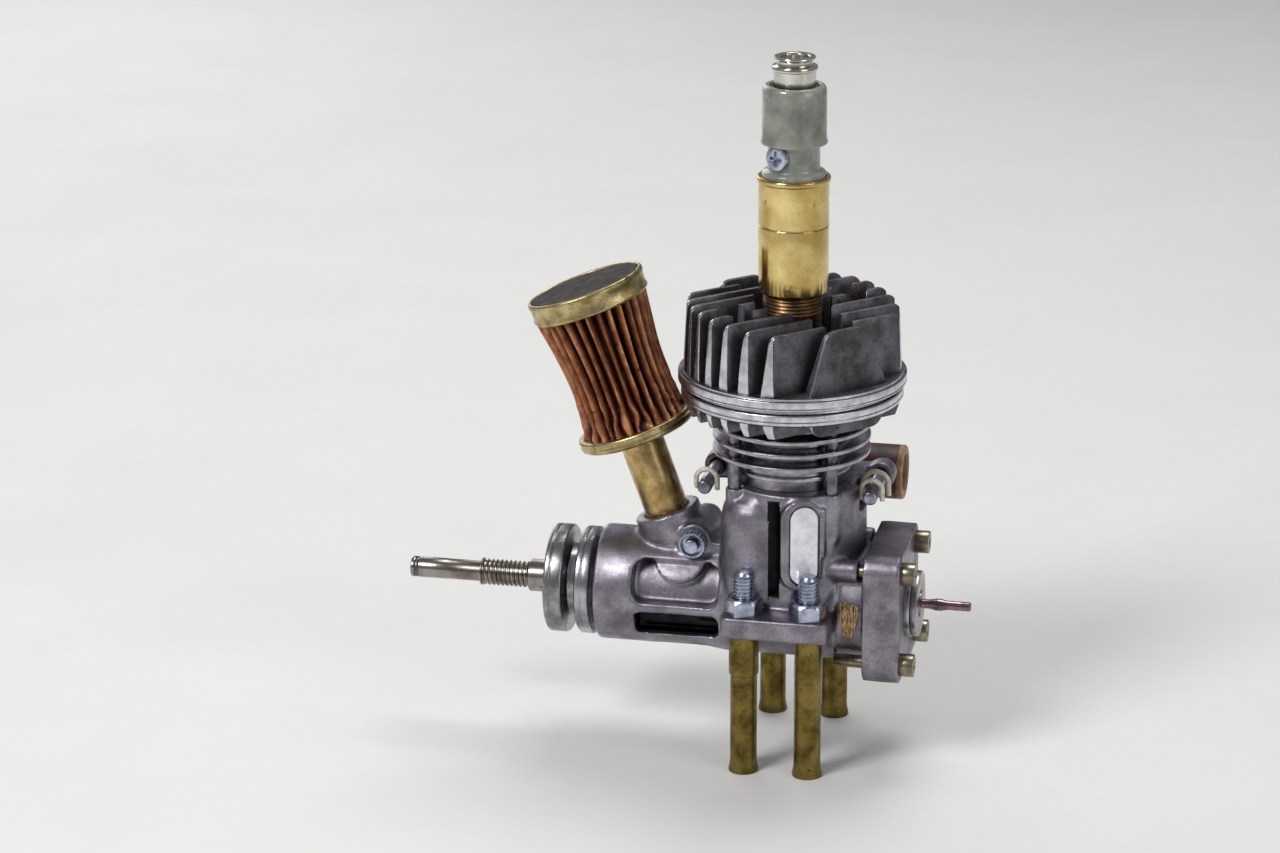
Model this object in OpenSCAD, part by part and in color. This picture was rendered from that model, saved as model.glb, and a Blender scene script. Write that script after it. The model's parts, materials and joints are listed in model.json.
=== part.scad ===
// Miniature two-stroke engine on four tube legs, in millimetres.
// The crank axis lies along X with the propeller end towards -X, and the cylinder stands along Z.

/* [Crankcase] */
// Outer radius of the cylinder barrel
barrel_r = 16.4; // [16:0.1:17.4]
// Distance of the barrel's axis behind the cylinder axis
barrel_shift = 1.4; // [0.8:0.1:1.8]
// Height of the barrel's top face above the crank axis
barrel_top = 30.2; // [29.6:0.1:31]
// Inner radius of the crank chamber
chamber_r = 13; // [12.9:0.05:13.2]
// Wall of the crank chamber
chamber_wall = 1.4; // [1.2:0.1:1.6]
// Front end of the crank chamber's bore
chamber_front = -13; // [-13.4:0.1:-12.8]
// Radius of the front housing
housing_r = 13.8; // [13.2:0.1:14.4]
// Front face of the front housing
housing_front = -45.3; // [-45.9:0.1:-45]
// Radius of the core tube between the side pockets
core_r = 10.2; // [10:0.1:10.8]
// Length of a side pocket along the housing
pocket_len = 21; // [18:0.5:22]
// Height of the upper side pocket
pocket_h = 9.8; // [8:0.2:10.4]
// Height of the lower side pocket
low_pocket_h = 6.4; // [5:0.2:6.6]

/* [Lugs and legs] */
// Width of a mounting lug along the crank axis
lug_w = 25.4; // [24.6:0.1:27]
// Reach of a mounting lug from the crank axis
lug_reach = 23.8; // [23:0.1:26]
// Thickness of a mounting lug
lug_t = 5.3; // [4.5:0.1:6]
// Height of a lug's top face above the crank axis
lug_top = 1.95; // [1.5:0.05:2.4]
// Distance between a lug's two studs
stud_pitch = 15.2; // [14.4:0.1:16]
// Distance of the studs from the crank axis
stud_y = 19; // [18.9:0.1:19.4]
// Radius of a lug stud
stud_r = 2.5; // [2.3:0.05:2.6]
// Height of a stud's tip above the lug
stud_up = 10.2; // [8:0.1:11]
// Width across the flats of a lug nut
nut_af = 8; // [7.6:0.1:8.6]
// Height of a lug nut
nut_h = 4; // [3.5:0.1:4.6]
// Length of a leg
leg_len = 34.4; // [30:0.1:40]
// Outer radius of a leg
leg_r = 3.15; // [3.1:0.05:3.5]
// Radius of the bore of a leg
leg_bore_r = 2.6; // [2.6:0.05:2.7]
// Length of the stud end that a leg leaves free at its foot
leg_free = 8; // [6:0.5:12]

/* [Crank and piston] */
// Throw of the crankpin
crank_throw = 7; // [6.7:0.1:7]
// Distance between the rod's two centres
rod_len = 27; // [26.8:0.1:27.4]
// Thickness of the rod along the crank axis
rod_t = 5; // [4.4:0.1:5.2]
// Outer radius of the rod's big end
big_end_r = 3.4; // [3.2:0.05:3.5]
// Outer radius of the rod's small end
small_end_r = 3.7; // [3.4:0.05:4]
// Radius of the crankpin
crankpin_r = 2.1; // [1.9:0.05:2.2]
// Radius of the wrist pin
wrist_r = 2.2; // [2:0.05:2.4]
// Radius of the cylinder bore
bore_r = 10.5; // [10.4:0.05:10.6]
// Height of the piston's crown above the wrist pin
crown_h = 11.4; // [10.8:0.1:11.5]
// Length of the skirt below the wrist pin
skirt_h = 7; // [6.4:0.1:7.2]
// Radius of the crank web
web_r = 11.2; // [10.8:0.1:11.6]
// Thickness of the crank web
web_t = 6; // [5:0.1:6.2]
// Radius of the main journal
journal_r = 5.5; // [5.3:0.05:5.7]
// Radius of the shaft's threaded part
thread_r = 3.17; // [3:0.01:3.4]
// Length of the shaft's threaded part
thread_len = 11.7; // [10:0.1:13]
// Radius of the pilot at the shaft's tip
pilot_r = 2.5; // [2.3:0.05:2.7]
// Length of the pilot
pilot_len = 17.5; // [15:0.1:19]
// Radius of the prop driver's disc
driver_r = 13; // [12:0.1:14]
// Thickness of the prop driver's disc
driver_t = 4.4; // [3.4:0.1:5]

/* [Cylinder and head] */
// Outer radius of the three large cylinder fins
fin_r = 18.5; // [18:0.1:19]
// Distance from one cylinder fin to the next
fin_pitch = 3.26; // [3.1:0.02:3.4]
// Thickness of a cylinder fin
fin_t = 1.1; // [0.9:0.05:1.3]
// Outer radius of the small ring above the barrel
small_ring_r = 14.3; // [13.9:0.1:14.4]
// Height of the cylinder jacket's top face above the crank axis
jacket_top = 46.4; // [46:0.1:46.8]
// Outer radius of the head's flange
head_r = 26.6; // [26:0.1:27.2]
// Thickness of the head's flange
flange_t = 2.95; // [2.6:0.05:3.2]
// Outer radius of the lower ring under the head
lower_ring_r = 25.9; // [25.6:0.1:26]
// Width of the groove between the two rings
ring_gap = 0.9; // [0.7:0.05:1.2]
// Height of the fins' tops above the head's flange
head_fin_h = 16.6; // [14:0.1:18]
// Distance from one head fin to the next
head_fin_pitch = 4.7; // [4.5:0.05:4.8]
// Number of head fins
head_fin_n = 10; // [8:2:10]
// Thickness of a head fin at its top
head_fin_top_t = 1.2; // [1:0.05:1.6]
// Thickness of a head fin at its base
head_fin_base_t = 2.5; // [2:0.05:2.8]
// Radius of the circle of the head bolts
bolt_circle_r = 16; // [15.8:0.05:16.4]
// Radius of a head bolt
bolt_r = 1.5; // [1.3:0.05:1.6]

/* [Plug] */
// Radius of the plug's threaded collar
collar_r = 7; // [6.6:0.1:7.4]
// Radius of the brass sleeve
sleeve_r = 8.15; // [7.8:0.05:8.4]
// Length of the brass sleeve
sleeve_len = 27.4; // [24:0.1:30]
// Radius of the insulator's drum
drum_r = 7.4; // [7:0.1:7.8]
// Height of the insulator's drum
drum_h = 13.6; // [12:0.1:15]
// Radius of the insulator's waist
waist_r = 6; // [5.6:0.1:6.4]
// Height of the insulator's waist, with its foot
waist_h = 7.6; // [7:0.1:8.4]
// Radius of the terminal's band
terminal_r = 4.8; // [4.4:0.1:5.2]
// Radius of the terminal's hole
terminal_hole_r = 2.25; // [2:0.05:2.5]

/* [Intake] */
// Lean of the intake towards the propeller, in degrees
lean = 19.9; // [18:0.1:21]
// Place along the crank axis where the intake's axis meets it
intake_x = -22.96; // [-23.4:0.05:-22.5]
// Distance of the cup's rim along the intake's axis
cup_rim = 20.7; // [20:0.1:22]
// Outer radius of the intake cup
cup_r = 7.9; // [7.6:0.1:8.3]
// Outer radius of the intake tube
tube_r = 5.2; // [5.1:0.05:5.4]
// Wall of the intake tube
tube_wall = 1; // [0.8:0.05:1.1]
// Distance of the filter's foot along the intake's axis
filter_foot = 40.2; // [38:0.2:44]
// Radius of the filter's two caps
cap_r = 14.2; // [13.8:0.1:14.8]
// Height of the filter's lower cap
low_cap_h = 3; // [2.6:0.1:3.6]
// Height of the filter's upper cap
top_cap_h = 5.1; // [4.4:0.1:5.6]
// Length of the pleated element
pleat_len = 30; // [26:0.5:34]
// Number of pleats
pleat_n = 34; // [28:1:40]
// Depth of the pleats
pleat_depth = 2.4; // [1.6:0.1:3]
// Radius of the pinch bolt
pinch_r = 1.65; // [1.5:0.05:1.7]

/* [Rear cover] */
// Width and height of the square rear cover
cover_w = 31.4; // [30.6:0.1:32.4]
// Thickness of the rear cover
cover_t = 8.6; // [8:0.1:10]
// Front face of the rear cover
cover_front = 19.6; // [19.2:0.1:20]
// Radius of the rear cover's corners
cover_corner_r = 4.5; // [3:0.1:5]
// Distance of the cover screws from the crank axis, both ways
cover_screw = 11.3; // [11:0.1:11.5]
// Radius of a cover screw
cover_screw_r = 1.5; // [1.3:0.05:1.6]
// Radius of the shaft retainer's discs
retainer_r = 8; // [7:0.1:8.4]
// Radius of the rear shaft
rear_shaft_r = 1.1; // [1:0.05:1.3]
// Distance of the rear shaft's tip from the cylinder axis
rear_shaft_tip = 43; // [40:0.5:46]

/* [Exhaust] */
// Distance of the exhaust flange's face from the cylinder axis
exhaust_y = 18.6; // [18:0.1:19]
// Height of the exhaust port above the crank axis
exhaust_z = 23; // [22.6:0.1:23.4]
// Radius of the exhaust port
port_r = 4.5; // [4.2:0.1:4.8]
// Distance of each exhaust pin from the cylinder axis
pin_x = 19.6; // [19.4:0.1:20]
// Radius of an exhaust pin
pin_r = 1.7; // [1.5:0.05:1.8]
// Height of the exhaust pins above the crank axis
pin_z = 27.6; // [27.2:0.1:28]
// Outer radius of the exhaust coupler
coupler_r = 6.6; // [6.4:0.1:7]
// Length of the exhaust coupler
coupler_len = 11; // [9:0.5:12]

/* [Hidden] */
$fn = 64;

fit = 0.05;      // radial running clearance of shafts and the piston
seat = 0.1;      // clearance round a piece that is pushed in and doesn't turn
free = 0.3;      // space left between pieces that move past each other
eps = 0.02;      // overlap of shapes that are fused into one piece
far = 80;        // longer than anything that is cut through

chamber_out = chamber_r + chamber_wall;
chamber_back = 4.5;
rear_bore_r = 12;
spigot_r = 13.6;
collar_front = housing_front - 4.8;
collar_back = housing_front - 1.2;
nose_r = 10.5;
core_front = -35.9;
pocket_round = 3;
liner_r = 12.2;
liner_bottom = 15;
boss_angle = 20;
boss_w = 8.2;
boss_h = 20.8;
boss_face = 17.7;
plate_depth = 0.9;
nut_space = 0.3;
boss_mid = 18.3;
plate_w = 6.4;
plate_h = 19;
plate_t = 0.8;
bulge_angle = -27;
bolt_boss_r = 2.2;
bolt_foot = barrel_top - 8.2;

wrist_rest = rod_len - crank_throw;
slide_up = 2 * crank_throw;
web_front = chamber_front + 0.8;
pin_end = -rod_t / 2 - free;
ring_h = 1.2;
piston_r = bore_r - fit;

driver_back = collar_front - 3.1;
driver_front = driver_back - driver_t;
neck_r = 8.5;
bearing_r = 9.1;
bearing_len = 6;
front_bearing_x = housing_front + 0.2;
rear_bearing_x = chamber_front - 8.1;
journal_gap = 0.6;
nut_seat = driver_front - 3.2;
thread_start = nut_seat - 2.7;
thread_end = thread_start - thread_len;
pilot_end = thread_end - pilot_len - 0.4;
cone_r = 5.6;

gasket_t = 0.4;
head_low = jacket_top + gasket_t;
lower_ring_z = 49.9;
head_z = lower_ring_z + flange_t + ring_gap;
head_top = head_z + flange_t;
fin_top = head_top + head_fin_h;
head_stem_r = 13.6;
fin_round = 3;
fin_env_r = head_r - 1.2;
well_r = 9.4;
bolt_pocket_r = 3.1;
bolt_seat = head_top - 0.3;

sleeve_low = fin_top + 1.65;
sleeve_top = sleeve_low + sleeve_len;
drum_low = sleeve_top + waist_h;
drum_top = drum_low + drum_h;
plug_low = head_low + 4.4;

tube_in_r = tube_r - tube_wall;
tube_foot = 15.2;
tube_top = filter_foot + low_cap_h - 0.4;
element_low = filter_foot + low_cap_h;
element_top = element_low + pleat_len;
filter_top = element_top + top_cap_h;
pinch_x = -21.7;
pinch_z = 14.45;
washer_r = 3.1;
ear_y = 8;
ear_r = 4.2;

cover_back = cover_front + cover_t;
retainer_t = 1.3;
retainer_back = cover_back + 2 * retainer_t + 0.3;
starter_r = 3;
disc_front = 3.8;
disc_back = 7.2;

ear_front = 9.5;
ear_t = 5;
lip_r = 4.6;
manifold_y = 27;
manifold_r = 6;
coupler_x = 12;
hook_wire = 0.65;
hook_y = -3.5;
long_hook_y = 1.2;

// Cylinder along X from x0 to x1
module x_cyl(x0, x1, r) {
    translate([x0, 0, 0]) rotate([0, 90, 0]) cylinder(r = r, h = x1 - x0);
}

// Cone along X from radius r0 at x0 to radius r1 at x1
module x_cone(x0, x1, r0, r1) {
    translate([x0, 0, 0]) rotate([0, 90, 0]) cylinder(r1 = r0, r2 = r1, h = x1 - x0);
}

// Cylinder along Y from y0 to y1
module y_cyl(y0, y1, r) {
    translate([0, y0, 0]) rotate([-90, 0, 0]) cylinder(r = r, h = y1 - y0);
}

// Ring along Z
module ring(r_out, r_in, h) {
    difference() {
        cylinder(r = r_out, h = h);
        translate([0, 0, -1]) cylinder(r = r_in, h = h + 2);
    }
}

// Ring along X from x0 to x1
module x_ring(x0, x1, r_out, r_in) {
    difference() {
        x_cyl(x0, x1, r_out);
        x_cyl(x0 - 1, x1 + 1, r_in);
    }
}

// Flat outline with round corners, centred
module round_rect(w, h, r) {
    union() {
        square([w - 2 * r, h], center = true);
        square([w, h - 2 * r], center = true);
        for (x = [-1, 1], y = [-1, 1])
            translate([x * (w / 2 - r), y * (h / 2 - r)]) circle(r = r);
    }
}

// Children in the leaning frame of the intake, at distance u along its axis
module on_intake(u) {
    translate([intake_x, 0, 0]) rotate([0, -lean, 0]) translate([0, 0, u]) children();
}

// Children at each of the four head bolts
module at_head_bolts() {
    for (a = [45 : 90 : 315])
        rotate([0, 0, a]) translate([bolt_circle_r, 0, 0]) children();
}

// Children at each of the four lug studs
module at_studs() {
    for (x = [-1, 1], y = [-1, 1])
        translate([x * stud_pitch / 2, y * stud_y, 0]) children();
}

// Children at each of the four cover screws, with +Z turned to the rear
module at_cover_screws() {
    for (y = [-1, 1], z = [-1, 1])
        translate([0, y * cover_screw, z * cover_screw]) rotate([0, 90, 0]) children();
}

// Lug plate with round outer corners and stud holes
module lug() {
    difference() {
        translate([0, lug_reach / 2, lug_top - lug_t]) linear_extrude(lug_t)
            round_rect(lug_w, lug_reach, 2.4);
        for (x = [-1, 1])
            translate([x * stud_pitch / 2, stud_y, lug_top - lug_t - 1])
                cylinder(r = stud_r + seat, h = lug_t + 2);
    }
}

// Upper and lower recess of one side of the front housing
module side_pockets() {
    difference() {
        union() {
            translate([core_front + pocket_len / 2, -12, pocket_h / 2])
                rotate([90, 0, 0]) linear_extrude(20, center = true)
                    round_rect(pocket_len, pocket_h, pocket_round);
            translate([core_front + pocket_len / 2 + 0.6, -12, -1.7 - low_pocket_h / 2])
                rotate([90, 0, 0]) linear_extrude(20, center = true)
                    round_rect(pocket_len - 1.4, low_pocket_h, 2);
        }
        x_cyl(core_front - 1, 0, core_r);
        on_intake(4) cylinder(r1 = 4.6, r2 = cup_r, h = 12);
    }
}

// Bulge of a transfer passage on the barrel, with a domed top
module transfer_bulge(a) {
    rotate([0, 0, a]) translate([0, -10.8, 0]) {
        translate([0, 0, 4]) cylinder(r = 6.2, h = 22.6);
        translate([0, 0, 26.6]) rotate_extrude() {
            square([3.6, 2.6]);
            intersection() {
                translate([3.6, 0]) circle(r = 2.6);
                translate([3.6, 0]) square(2.6);
            }
        }
    }
}

// Stadium outline of the plate boss
module stadium(w, h) {
    union() {
        square([w, h - w], center = true);
        for (s = [-1, 1]) translate([0, s * (h - w) / 2]) circle(d = w);
    }
}

// Children in the plane of the plate boss, at distance d from the cylinder axis
module on_boss(d) {
    rotate([0, 0, boss_angle]) translate([0, 0, boss_mid]) rotate([90, 0, 0]) translate([0, 0, d]) children();
}

// Raised boss that frames the bare plate
module plate_boss() {
    on_boss(10) linear_extrude(boss_face - 10) stadium(boss_w, boss_h);
}

module crankcase_outside() {
    translate([barrel_shift, 0, 0]) cylinder(r = barrel_r, h = barrel_top);
    x_cyl(chamber_front - 1.6, 13, chamber_out);
    x_cone(chamber_front - 5.6, chamber_front - 1.6, housing_r, chamber_out);
    x_cyl(12, cover_front, spigot_r);
    x_cyl(housing_front, chamber_front - 1, housing_r);
    x_cyl(collar_front - 0.1, housing_front + 1, nose_r);
    for (s = [0, 180]) rotate([0, 0, s]) lug();
    on_intake(4) cylinder(r1 = 4.6, r2 = cup_r, h = 12);
    on_intake(16 - eps) cylinder(r = cup_r, h = cup_rim - 16);
    translate([pinch_x, 0, pinch_z]) y_cyl(-ear_y, ear_y, ear_r);
    translate([pinch_x, -ear_y, pinch_z - 8]) cube([8, 2 * ear_y, 8]);
    for (a = [bulge_angle, 63, 180 - bulge_angle, 117]) transfer_bulge(a);
    plate_boss();
    rotate([0, 0, 38]) translate([-0.6, -16.6, 14]) cube([1.2, 6, 13.5]);
    at_head_bolts() translate([0, 0, 19]) cylinder(r = bolt_boss_r, h = barrel_top - 19);
    at_head_bolts() translate([0, 0, 14]) cylinder(r1 = 0.4, r2 = bolt_boss_r, h = 5 + eps);
    for (y = [-1, 1])
        translate([0, y * cover_screw, cover_screw]) {
            x_cyl(8, cover_front - 1.5, 2.6);
            x_cone(4, 8 + eps, 1.6, 2.6);
        }
    translate([-9, 8, exhaust_z - 7.2]) cube([18, exhaust_y - 8, 14.4]);
    translate([-pin_x, ear_front, pin_z - 3.2]) cube([2 * pin_x, ear_t, 5.4]);
    for (x = [-1, 1]) translate([x * pin_x, 0, pin_z]) y_cyl(ear_front, ear_front + ear_t, pin_r + 1.6);
}

module crankcase() {
    color([0.62, 0.61, 0.65]) difference() {
        crankcase_outside();
        x_cyl(chamber_front, chamber_back, chamber_r);
        x_cyl(chamber_back - 0.1, cover_front + 1, rear_bore_r);
        translate([0, 0, 4]) cylinder(r = liner_r + seat, h = far);
        x_cyl(rear_bearing_x, chamber_front + 0.1, bearing_r);
        x_cyl(housing_front - 6, front_bearing_x + bearing_len, bearing_r);
        x_cyl(front_bearing_x + 5, rear_bearing_x + 1, journal_r + journal_gap);
        side_pockets();
        mirror([0, 1, 0]) side_pockets();
        on_boss(boss_face - plate_depth) linear_extrude(2) stadium(plate_w + 0.3, plate_h + 0.3);
        at_studs() translate([0, 0, lug_top]) {
            cylinder(r = nut_af / sqrt(3) + nut_space, h = nut_h + 0.6);
            translate([0, 0, nut_h + 0.6 - eps]) cylinder(r1 = nut_af / sqrt(3) + nut_space, r2 = stud_r + 0.2, h = 2.6);
        }
        translate([core_front + 12, 0, -housing_r])
            linear_extrude(8, center = true) round_rect(17, 11, 3);
        on_intake(0) cylinder(r = tube_in_r, h = cup_rim + 1);
        on_intake(tube_foot) cylinder(r = tube_r + seat, h = 10);
        translate([pinch_x, 0, pinch_z]) y_cyl(-far / 2, far / 2, pinch_r + seat);
        at_head_bolts() translate([0, 0, bolt_foot - 2]) cylinder(r = bolt_r, h = far);
        translate([0, 0, exhaust_z]) y_cyl(8, far, port_r);
        for (x = [-1, 1]) translate([x * pin_x, 0, pin_z]) y_cyl(0, far, pin_r + seat);
        hook_space = pin_r + 2 * hook_wire + 0.7 + free;
        translate([pin_x - hook_space, hook_y - 1, pin_z - 4]) cube([8, long_hook_y - hook_y + 2, 8]);
        at_cover_screws() translate([0, 0, 9]) cylinder(r = cover_screw_r + seat, h = 12);
    }
}

module name_plate() {
    color([0.93, 0.93, 0.96])
        on_boss(boss_face - plate_depth) linear_extrude(plate_t) stadium(plate_w, plate_h);
}

module nose_collar() {
    color([0.66, 0.64, 0.62]) x_ring(collar_front, collar_back, 12.9, nose_r + fit);
}

// Ball bearing between x0 and x1
module ball_bearing(x0, x1, r_in, r_out, balls) {
    mid_r = (r_in + r_out) / 2;
    ball_r = (r_out - r_in) * 0.26;
    mid_x = (x0 + x1) / 2;
    difference() {
        union() {
            x_ring(x0, x1, r_out, mid_r + ball_r * 0.55);
            x_ring(x0, x1, mid_r - ball_r * 0.55, r_in);
        }
        translate([mid_x, 0, 0]) rotate([0, 90, 0])
            rotate_extrude() translate([mid_r, 0]) circle(r = ball_r + eps);
    }
    for (i = [0 : balls - 1])
        translate([mid_x, 0, 0]) rotate([i * 360 / balls, 0, 0])
            translate([0, 0, mid_r]) sphere(r = ball_r);
}

module front_bearing() {
    color("lightsteelblue") ball_bearing(front_bearing_x, front_bearing_x + bearing_len, 5.05, bearing_r, 9);
}

module rear_bearing() {
    color("lightsteelblue") ball_bearing(rear_bearing_x, rear_bearing_x + bearing_len, journal_r + fit, bearing_r, 9);
}

module cylinder_liner() {
    color([0.7, 0.7, 0.72]) difference() {
        translate([0, 0, liner_bottom]) cylinder(r = liner_r, h = jacket_top - liner_bottom);
        translate([0, 0, liner_bottom - 1]) cylinder(r = bore_r, h = far);
        translate([0, 0, exhaust_z]) y_cyl(5, far, port_r - 0.6);
        for (a = [bulge_angle, 63, 117]) rotate([0, 0, a])
            translate([-2.6, -far, 18]) cube([5.2, far - 5, 5]);
    }
}

module cylinder_jacket() {
    color([0.68, 0.68, 0.72]) difference() {
        union() {
            translate([0, 0, barrel_top]) cylinder(r = 13.5, h = jacket_top - barrel_top);
            translate([0, 0, barrel_top + 2.5]) cylinder(r = small_ring_r, h = fin_t);
            for (i = [0 : 2])
                translate([0, 0, barrel_top + 6.3 + i * fin_pitch]) cylinder(r = fin_r, h = fin_t);
        }
        translate([0, 0, barrel_top - 1]) cylinder(r = liner_r + seat, h = far);
        at_head_bolts() translate([0, 0, bolt_foot - 2]) cylinder(r = bolt_r + 0.2, h = far);
    }
}

// Straight bar with a drafted section, along the head's fin direction at offset s
module drafted_bar(s, low_t, high_t, h) {
    rotate([0, 0, 45]) translate([0, -s, 0]) rotate([90, 0, 90])
        linear_extrude(far, center = true)
            polygon([[-low_t / 2, 0], [low_t / 2, 0], [high_t / 2, h], [-high_t / 2, h]]);
}

// Offsets of the head's fins from the cylinder axis
fin_offsets = [for (i = [0 : head_fin_n - 1]) (i - (head_fin_n - 1) / 2) * head_fin_pitch];

module lower_ring() {
    hang = 3.4;
    color([0.66, 0.66, 0.7]) difference() {
        union() {
            translate([0, 0, lower_ring_z]) cylinder(r = lower_ring_r, h = flange_t);
            translate([0, 0, lower_ring_z + flange_t - eps])
                cylinder(r = lower_ring_r - 0.9, h = ring_gap + eps);
            intersection() {
                translate([0, 0, lower_ring_z - hang]) cylinder(r = lower_ring_r - 0.6, h = hang + 1);
                for (s = fin_offsets) translate([0, 0, lower_ring_z - hang])
                    drafted_bar(s, head_fin_top_t + 0.2, head_fin_base_t, hang + 0.5);
            }
        }
        translate([0, 0, lower_ring_z - 10]) cylinder(r = head_stem_r + seat, h = far);
        at_head_bolts() translate([0, 0, bolt_foot - 2]) cylinder(r = bolt_r + 0.2, h = far);
    }
}

module head_gasket() {
    color([0.75, 0.5, 0.35]) translate([0, 0, jacket_top]) ring(13.4, bore_r, gasket_t);
}

module combustion_button() {
    color([0.72, 0.72, 0.74]) difference() {
        translate([0, 0, head_low]) cylinder(r = 12, h = 4.3);
        translate([0, 0, head_low - 7.2]) sphere(r = 9.6);
        translate([0, 0, head_low]) cylinder(r = 4.2, h = 10);
    }
}

// Outline of the round envelope that trims the ends of the head's fins
module fin_envelope() {
    round_r = fin_env_r - 2 - fin_round;
    rotate_extrude() polygon(concat(
        [[0, head_top - 1], [fin_env_r, head_top - 1], [fin_env_r, head_top + 3]],
        [for (a = [0 : 15 : 90])
            [round_r + fin_round * cos(a), fin_top - fin_round + fin_round * sin(a)]],
        [[0, fin_top]]));
}

module cylinder_head() {
    color([0.6, 0.6, 0.64]) difference() {
        union() {
            translate([0, 0, head_z]) cylinder(r = head_r, h = flange_t);
            translate([0, 0, head_low]) cylinder(r = head_stem_r, h = head_z - head_low + 1);
            intersection() {
                fin_envelope();
                for (s = fin_offsets)
                    translate([0, 0, head_top - 0.5])
                        drafted_bar(s, head_fin_base_t, head_fin_top_t, head_fin_h + 0.5);
            }
            translate([0, 0, head_top - 1]) cylinder(r = collar_r + 1.7, h = 7);
        }
        translate([0, 0, head_low - 1]) cylinder(r = 12 + seat, h = 1 + 4.4);
        translate([0, 0, head_low]) cylinder(r = collar_r + seat, h = far);
        translate([0, 0, head_top + 6]) cylinder(r = well_r, h = far);
        at_head_bolts() {
            translate([0, 0, head_low - 1]) cylinder(r = bolt_r + 0.2, h = far);
            translate([0, 0, bolt_seat]) cylinder(r = bolt_pocket_r, h = far);
        }
    }
}

module head_bolts() {
    color("dimgray") at_head_bolts() difference() {
        union() {
            translate([0, 0, bolt_foot]) cylinder(r = bolt_r - eps, h = bolt_seat - bolt_foot + 0.5);
            translate([0, 0, bolt_seat]) cylinder(r = 2.75, h = 3);
        }
        translate([0, 0, bolt_seat + 1.2]) cylinder(r = 1.44, h = 3, $fn = 6);
    }
}

module plug_collar() {
    color([0.5, 0.36, 0.22]) difference() {
        translate([0, 0, plug_low]) cylinder(r = collar_r, h = sleeve_low - plug_low);
        translate([0, 0, plug_low - 1]) cylinder(r = 3.4, h = far);
    }
}

module brass_sleeve() {
    color([0.78, 0.62, 0.28]) difference() {
        union() {
            translate([0, 0, sleeve_low]) cylinder(r = sleeve_r, h = sleeve_len);
            translate([0, 0, sleeve_top - 1.2]) cylinder(r = sleeve_r + 0.35, h = 1.2);
        }
        translate([0, 0, sleeve_low - 1]) cylinder(r = 3.4, h = far);
        translate([0, 0, sleeve_top - 1]) cylinder(r = drum_r + seat, h = 2);
    }
}

module insulator() {
    color([0.55, 0.62, 0.55]) difference() {
        union() {
            translate([0, 0, sleeve_top - 1]) cylinder(r = drum_r, h = 3.2);
            translate([0, 0, sleeve_top]) cylinder(r = waist_r, h = waist_h + eps);
            rotate_extrude() polygon([[0, drum_low], [drum_r + 0.3, drum_low],
                [drum_r, drum_low + 1.6], [drum_r, drum_top - 0.9], [drum_r - 0.9, drum_top],
                [0, drum_top]]);
        }
        translate([0, 0, drum_top - 1.2]) cylinder(r = terminal_r + 0.9, h = 2);
        translate([0, 0, sleeve_top - 2]) cylinder(r = 1.6, h = far);
        rotate([0, 0, -28]) translate([0, 0, sleeve_top + 5]) y_cyl(-far, -4, 2.85);
    }
}

module clamp_screw() {
    color([0.6, 0.66, 0.6]) rotate([0, 0, -28]) translate([0, 0, sleeve_top + 5]) difference() {
        y_cyl(-waist_r - 0.9, -4, 2.75);
        translate([-0.35, -waist_r - 1, -1.7]) cube([0.7, 1, 3.4]);
        translate([-1.7, -waist_r - 1, -0.35]) cube([3.4, 1, 0.7]);
    }
}

module contact_pin() {
    color("silver") {
        translate([0, 0, head_low + 2.6]) cylinder(r = 1.55, h = drum_top - 1.2 - head_low - 2.6);
        translate([0, 0, plug_low + 0.2]) cylinder(r = 3.35, h = sleeve_top - 1.2 - plug_low);
    }
}

module terminal() {
    base = drum_top - 1.2;
    color([0.85, 0.85, 0.82]) difference() {
        rotate_extrude() polygon([[0, base], [terminal_r, base], [terminal_r, base + 4.6],
            [terminal_r + 0.5, base + 4.8], [terminal_r + 0.5, base + 5.5], [terminal_r - 0.8, base + 5.7],
            [terminal_r - 0.8, base + 7.2], [terminal_r, base + 7.5], [terminal_r, base + 8],
            [0, base + 8]]);
        translate([0, 0, base + 1.4]) cylinder(r = terminal_hole_r, h = 8);
    }
}

module lug_studs() {
    tip = lug_top + stud_up;
    foot = lug_top - lug_t - leg_len + leg_free;
    color([0.72, 0.75, 0.85]) at_studs() {
        translate([0, 0, foot]) cylinder(r = stud_r, h = tip - foot - 1);
        translate([0, 0, tip - 1 - eps]) cylinder(r1 = stud_r, r2 = stud_r - 0.8, h = 1 + eps);
    }
}

module lug_nuts() {
    color([0.72, 0.75, 0.85]) at_studs() translate([0, 0, lug_top]) difference() {
        intersection() {
            rotate([0, 0, 12]) cylinder(d = nut_af / cos(30), h = nut_h, $fn = 6);
            translate([0, 0, -nut_af * 0.33]) cylinder(r1 = nut_af, r2 = nut_af * 0.48, h = nut_h + nut_af * 0.33);
        }
        translate([0, 0, -1]) cylinder(r = stud_r + eps, h = nut_h + 2);
    }
}

// Tube leg with flared ends, below a stud on side sx, sy
module leg(sx, sy) {
    top = lug_top - lug_t;
    low = top - leg_len;
    color([0.6, 0.5, 0.2]) translate([sx * stud_pitch / 2, sy * stud_y, 0]) rotate_extrude()
        polygon([[leg_bore_r, low], [leg_r + 0.4, low], [leg_r + 0.4, low + 0.5], [leg_r, low + 2.6],
                 [leg_r, top - 1.6], [leg_r + 0.2, top - 0.8], [leg_r + 0.2, top], [leg_bore_r, top]]);
}

module leg_front_left() { leg(-1, -1); }
module leg_front_right() { leg(1, -1); }
module leg_rear_left() { leg(-1, 1); }
module leg_rear_right() { leg(1, 1); }

module intake_tube() {
    color([0.78, 0.6, 0.28]) on_intake(tube_foot) ring(tube_r, tube_in_r, tube_top - tube_foot);
}

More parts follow.
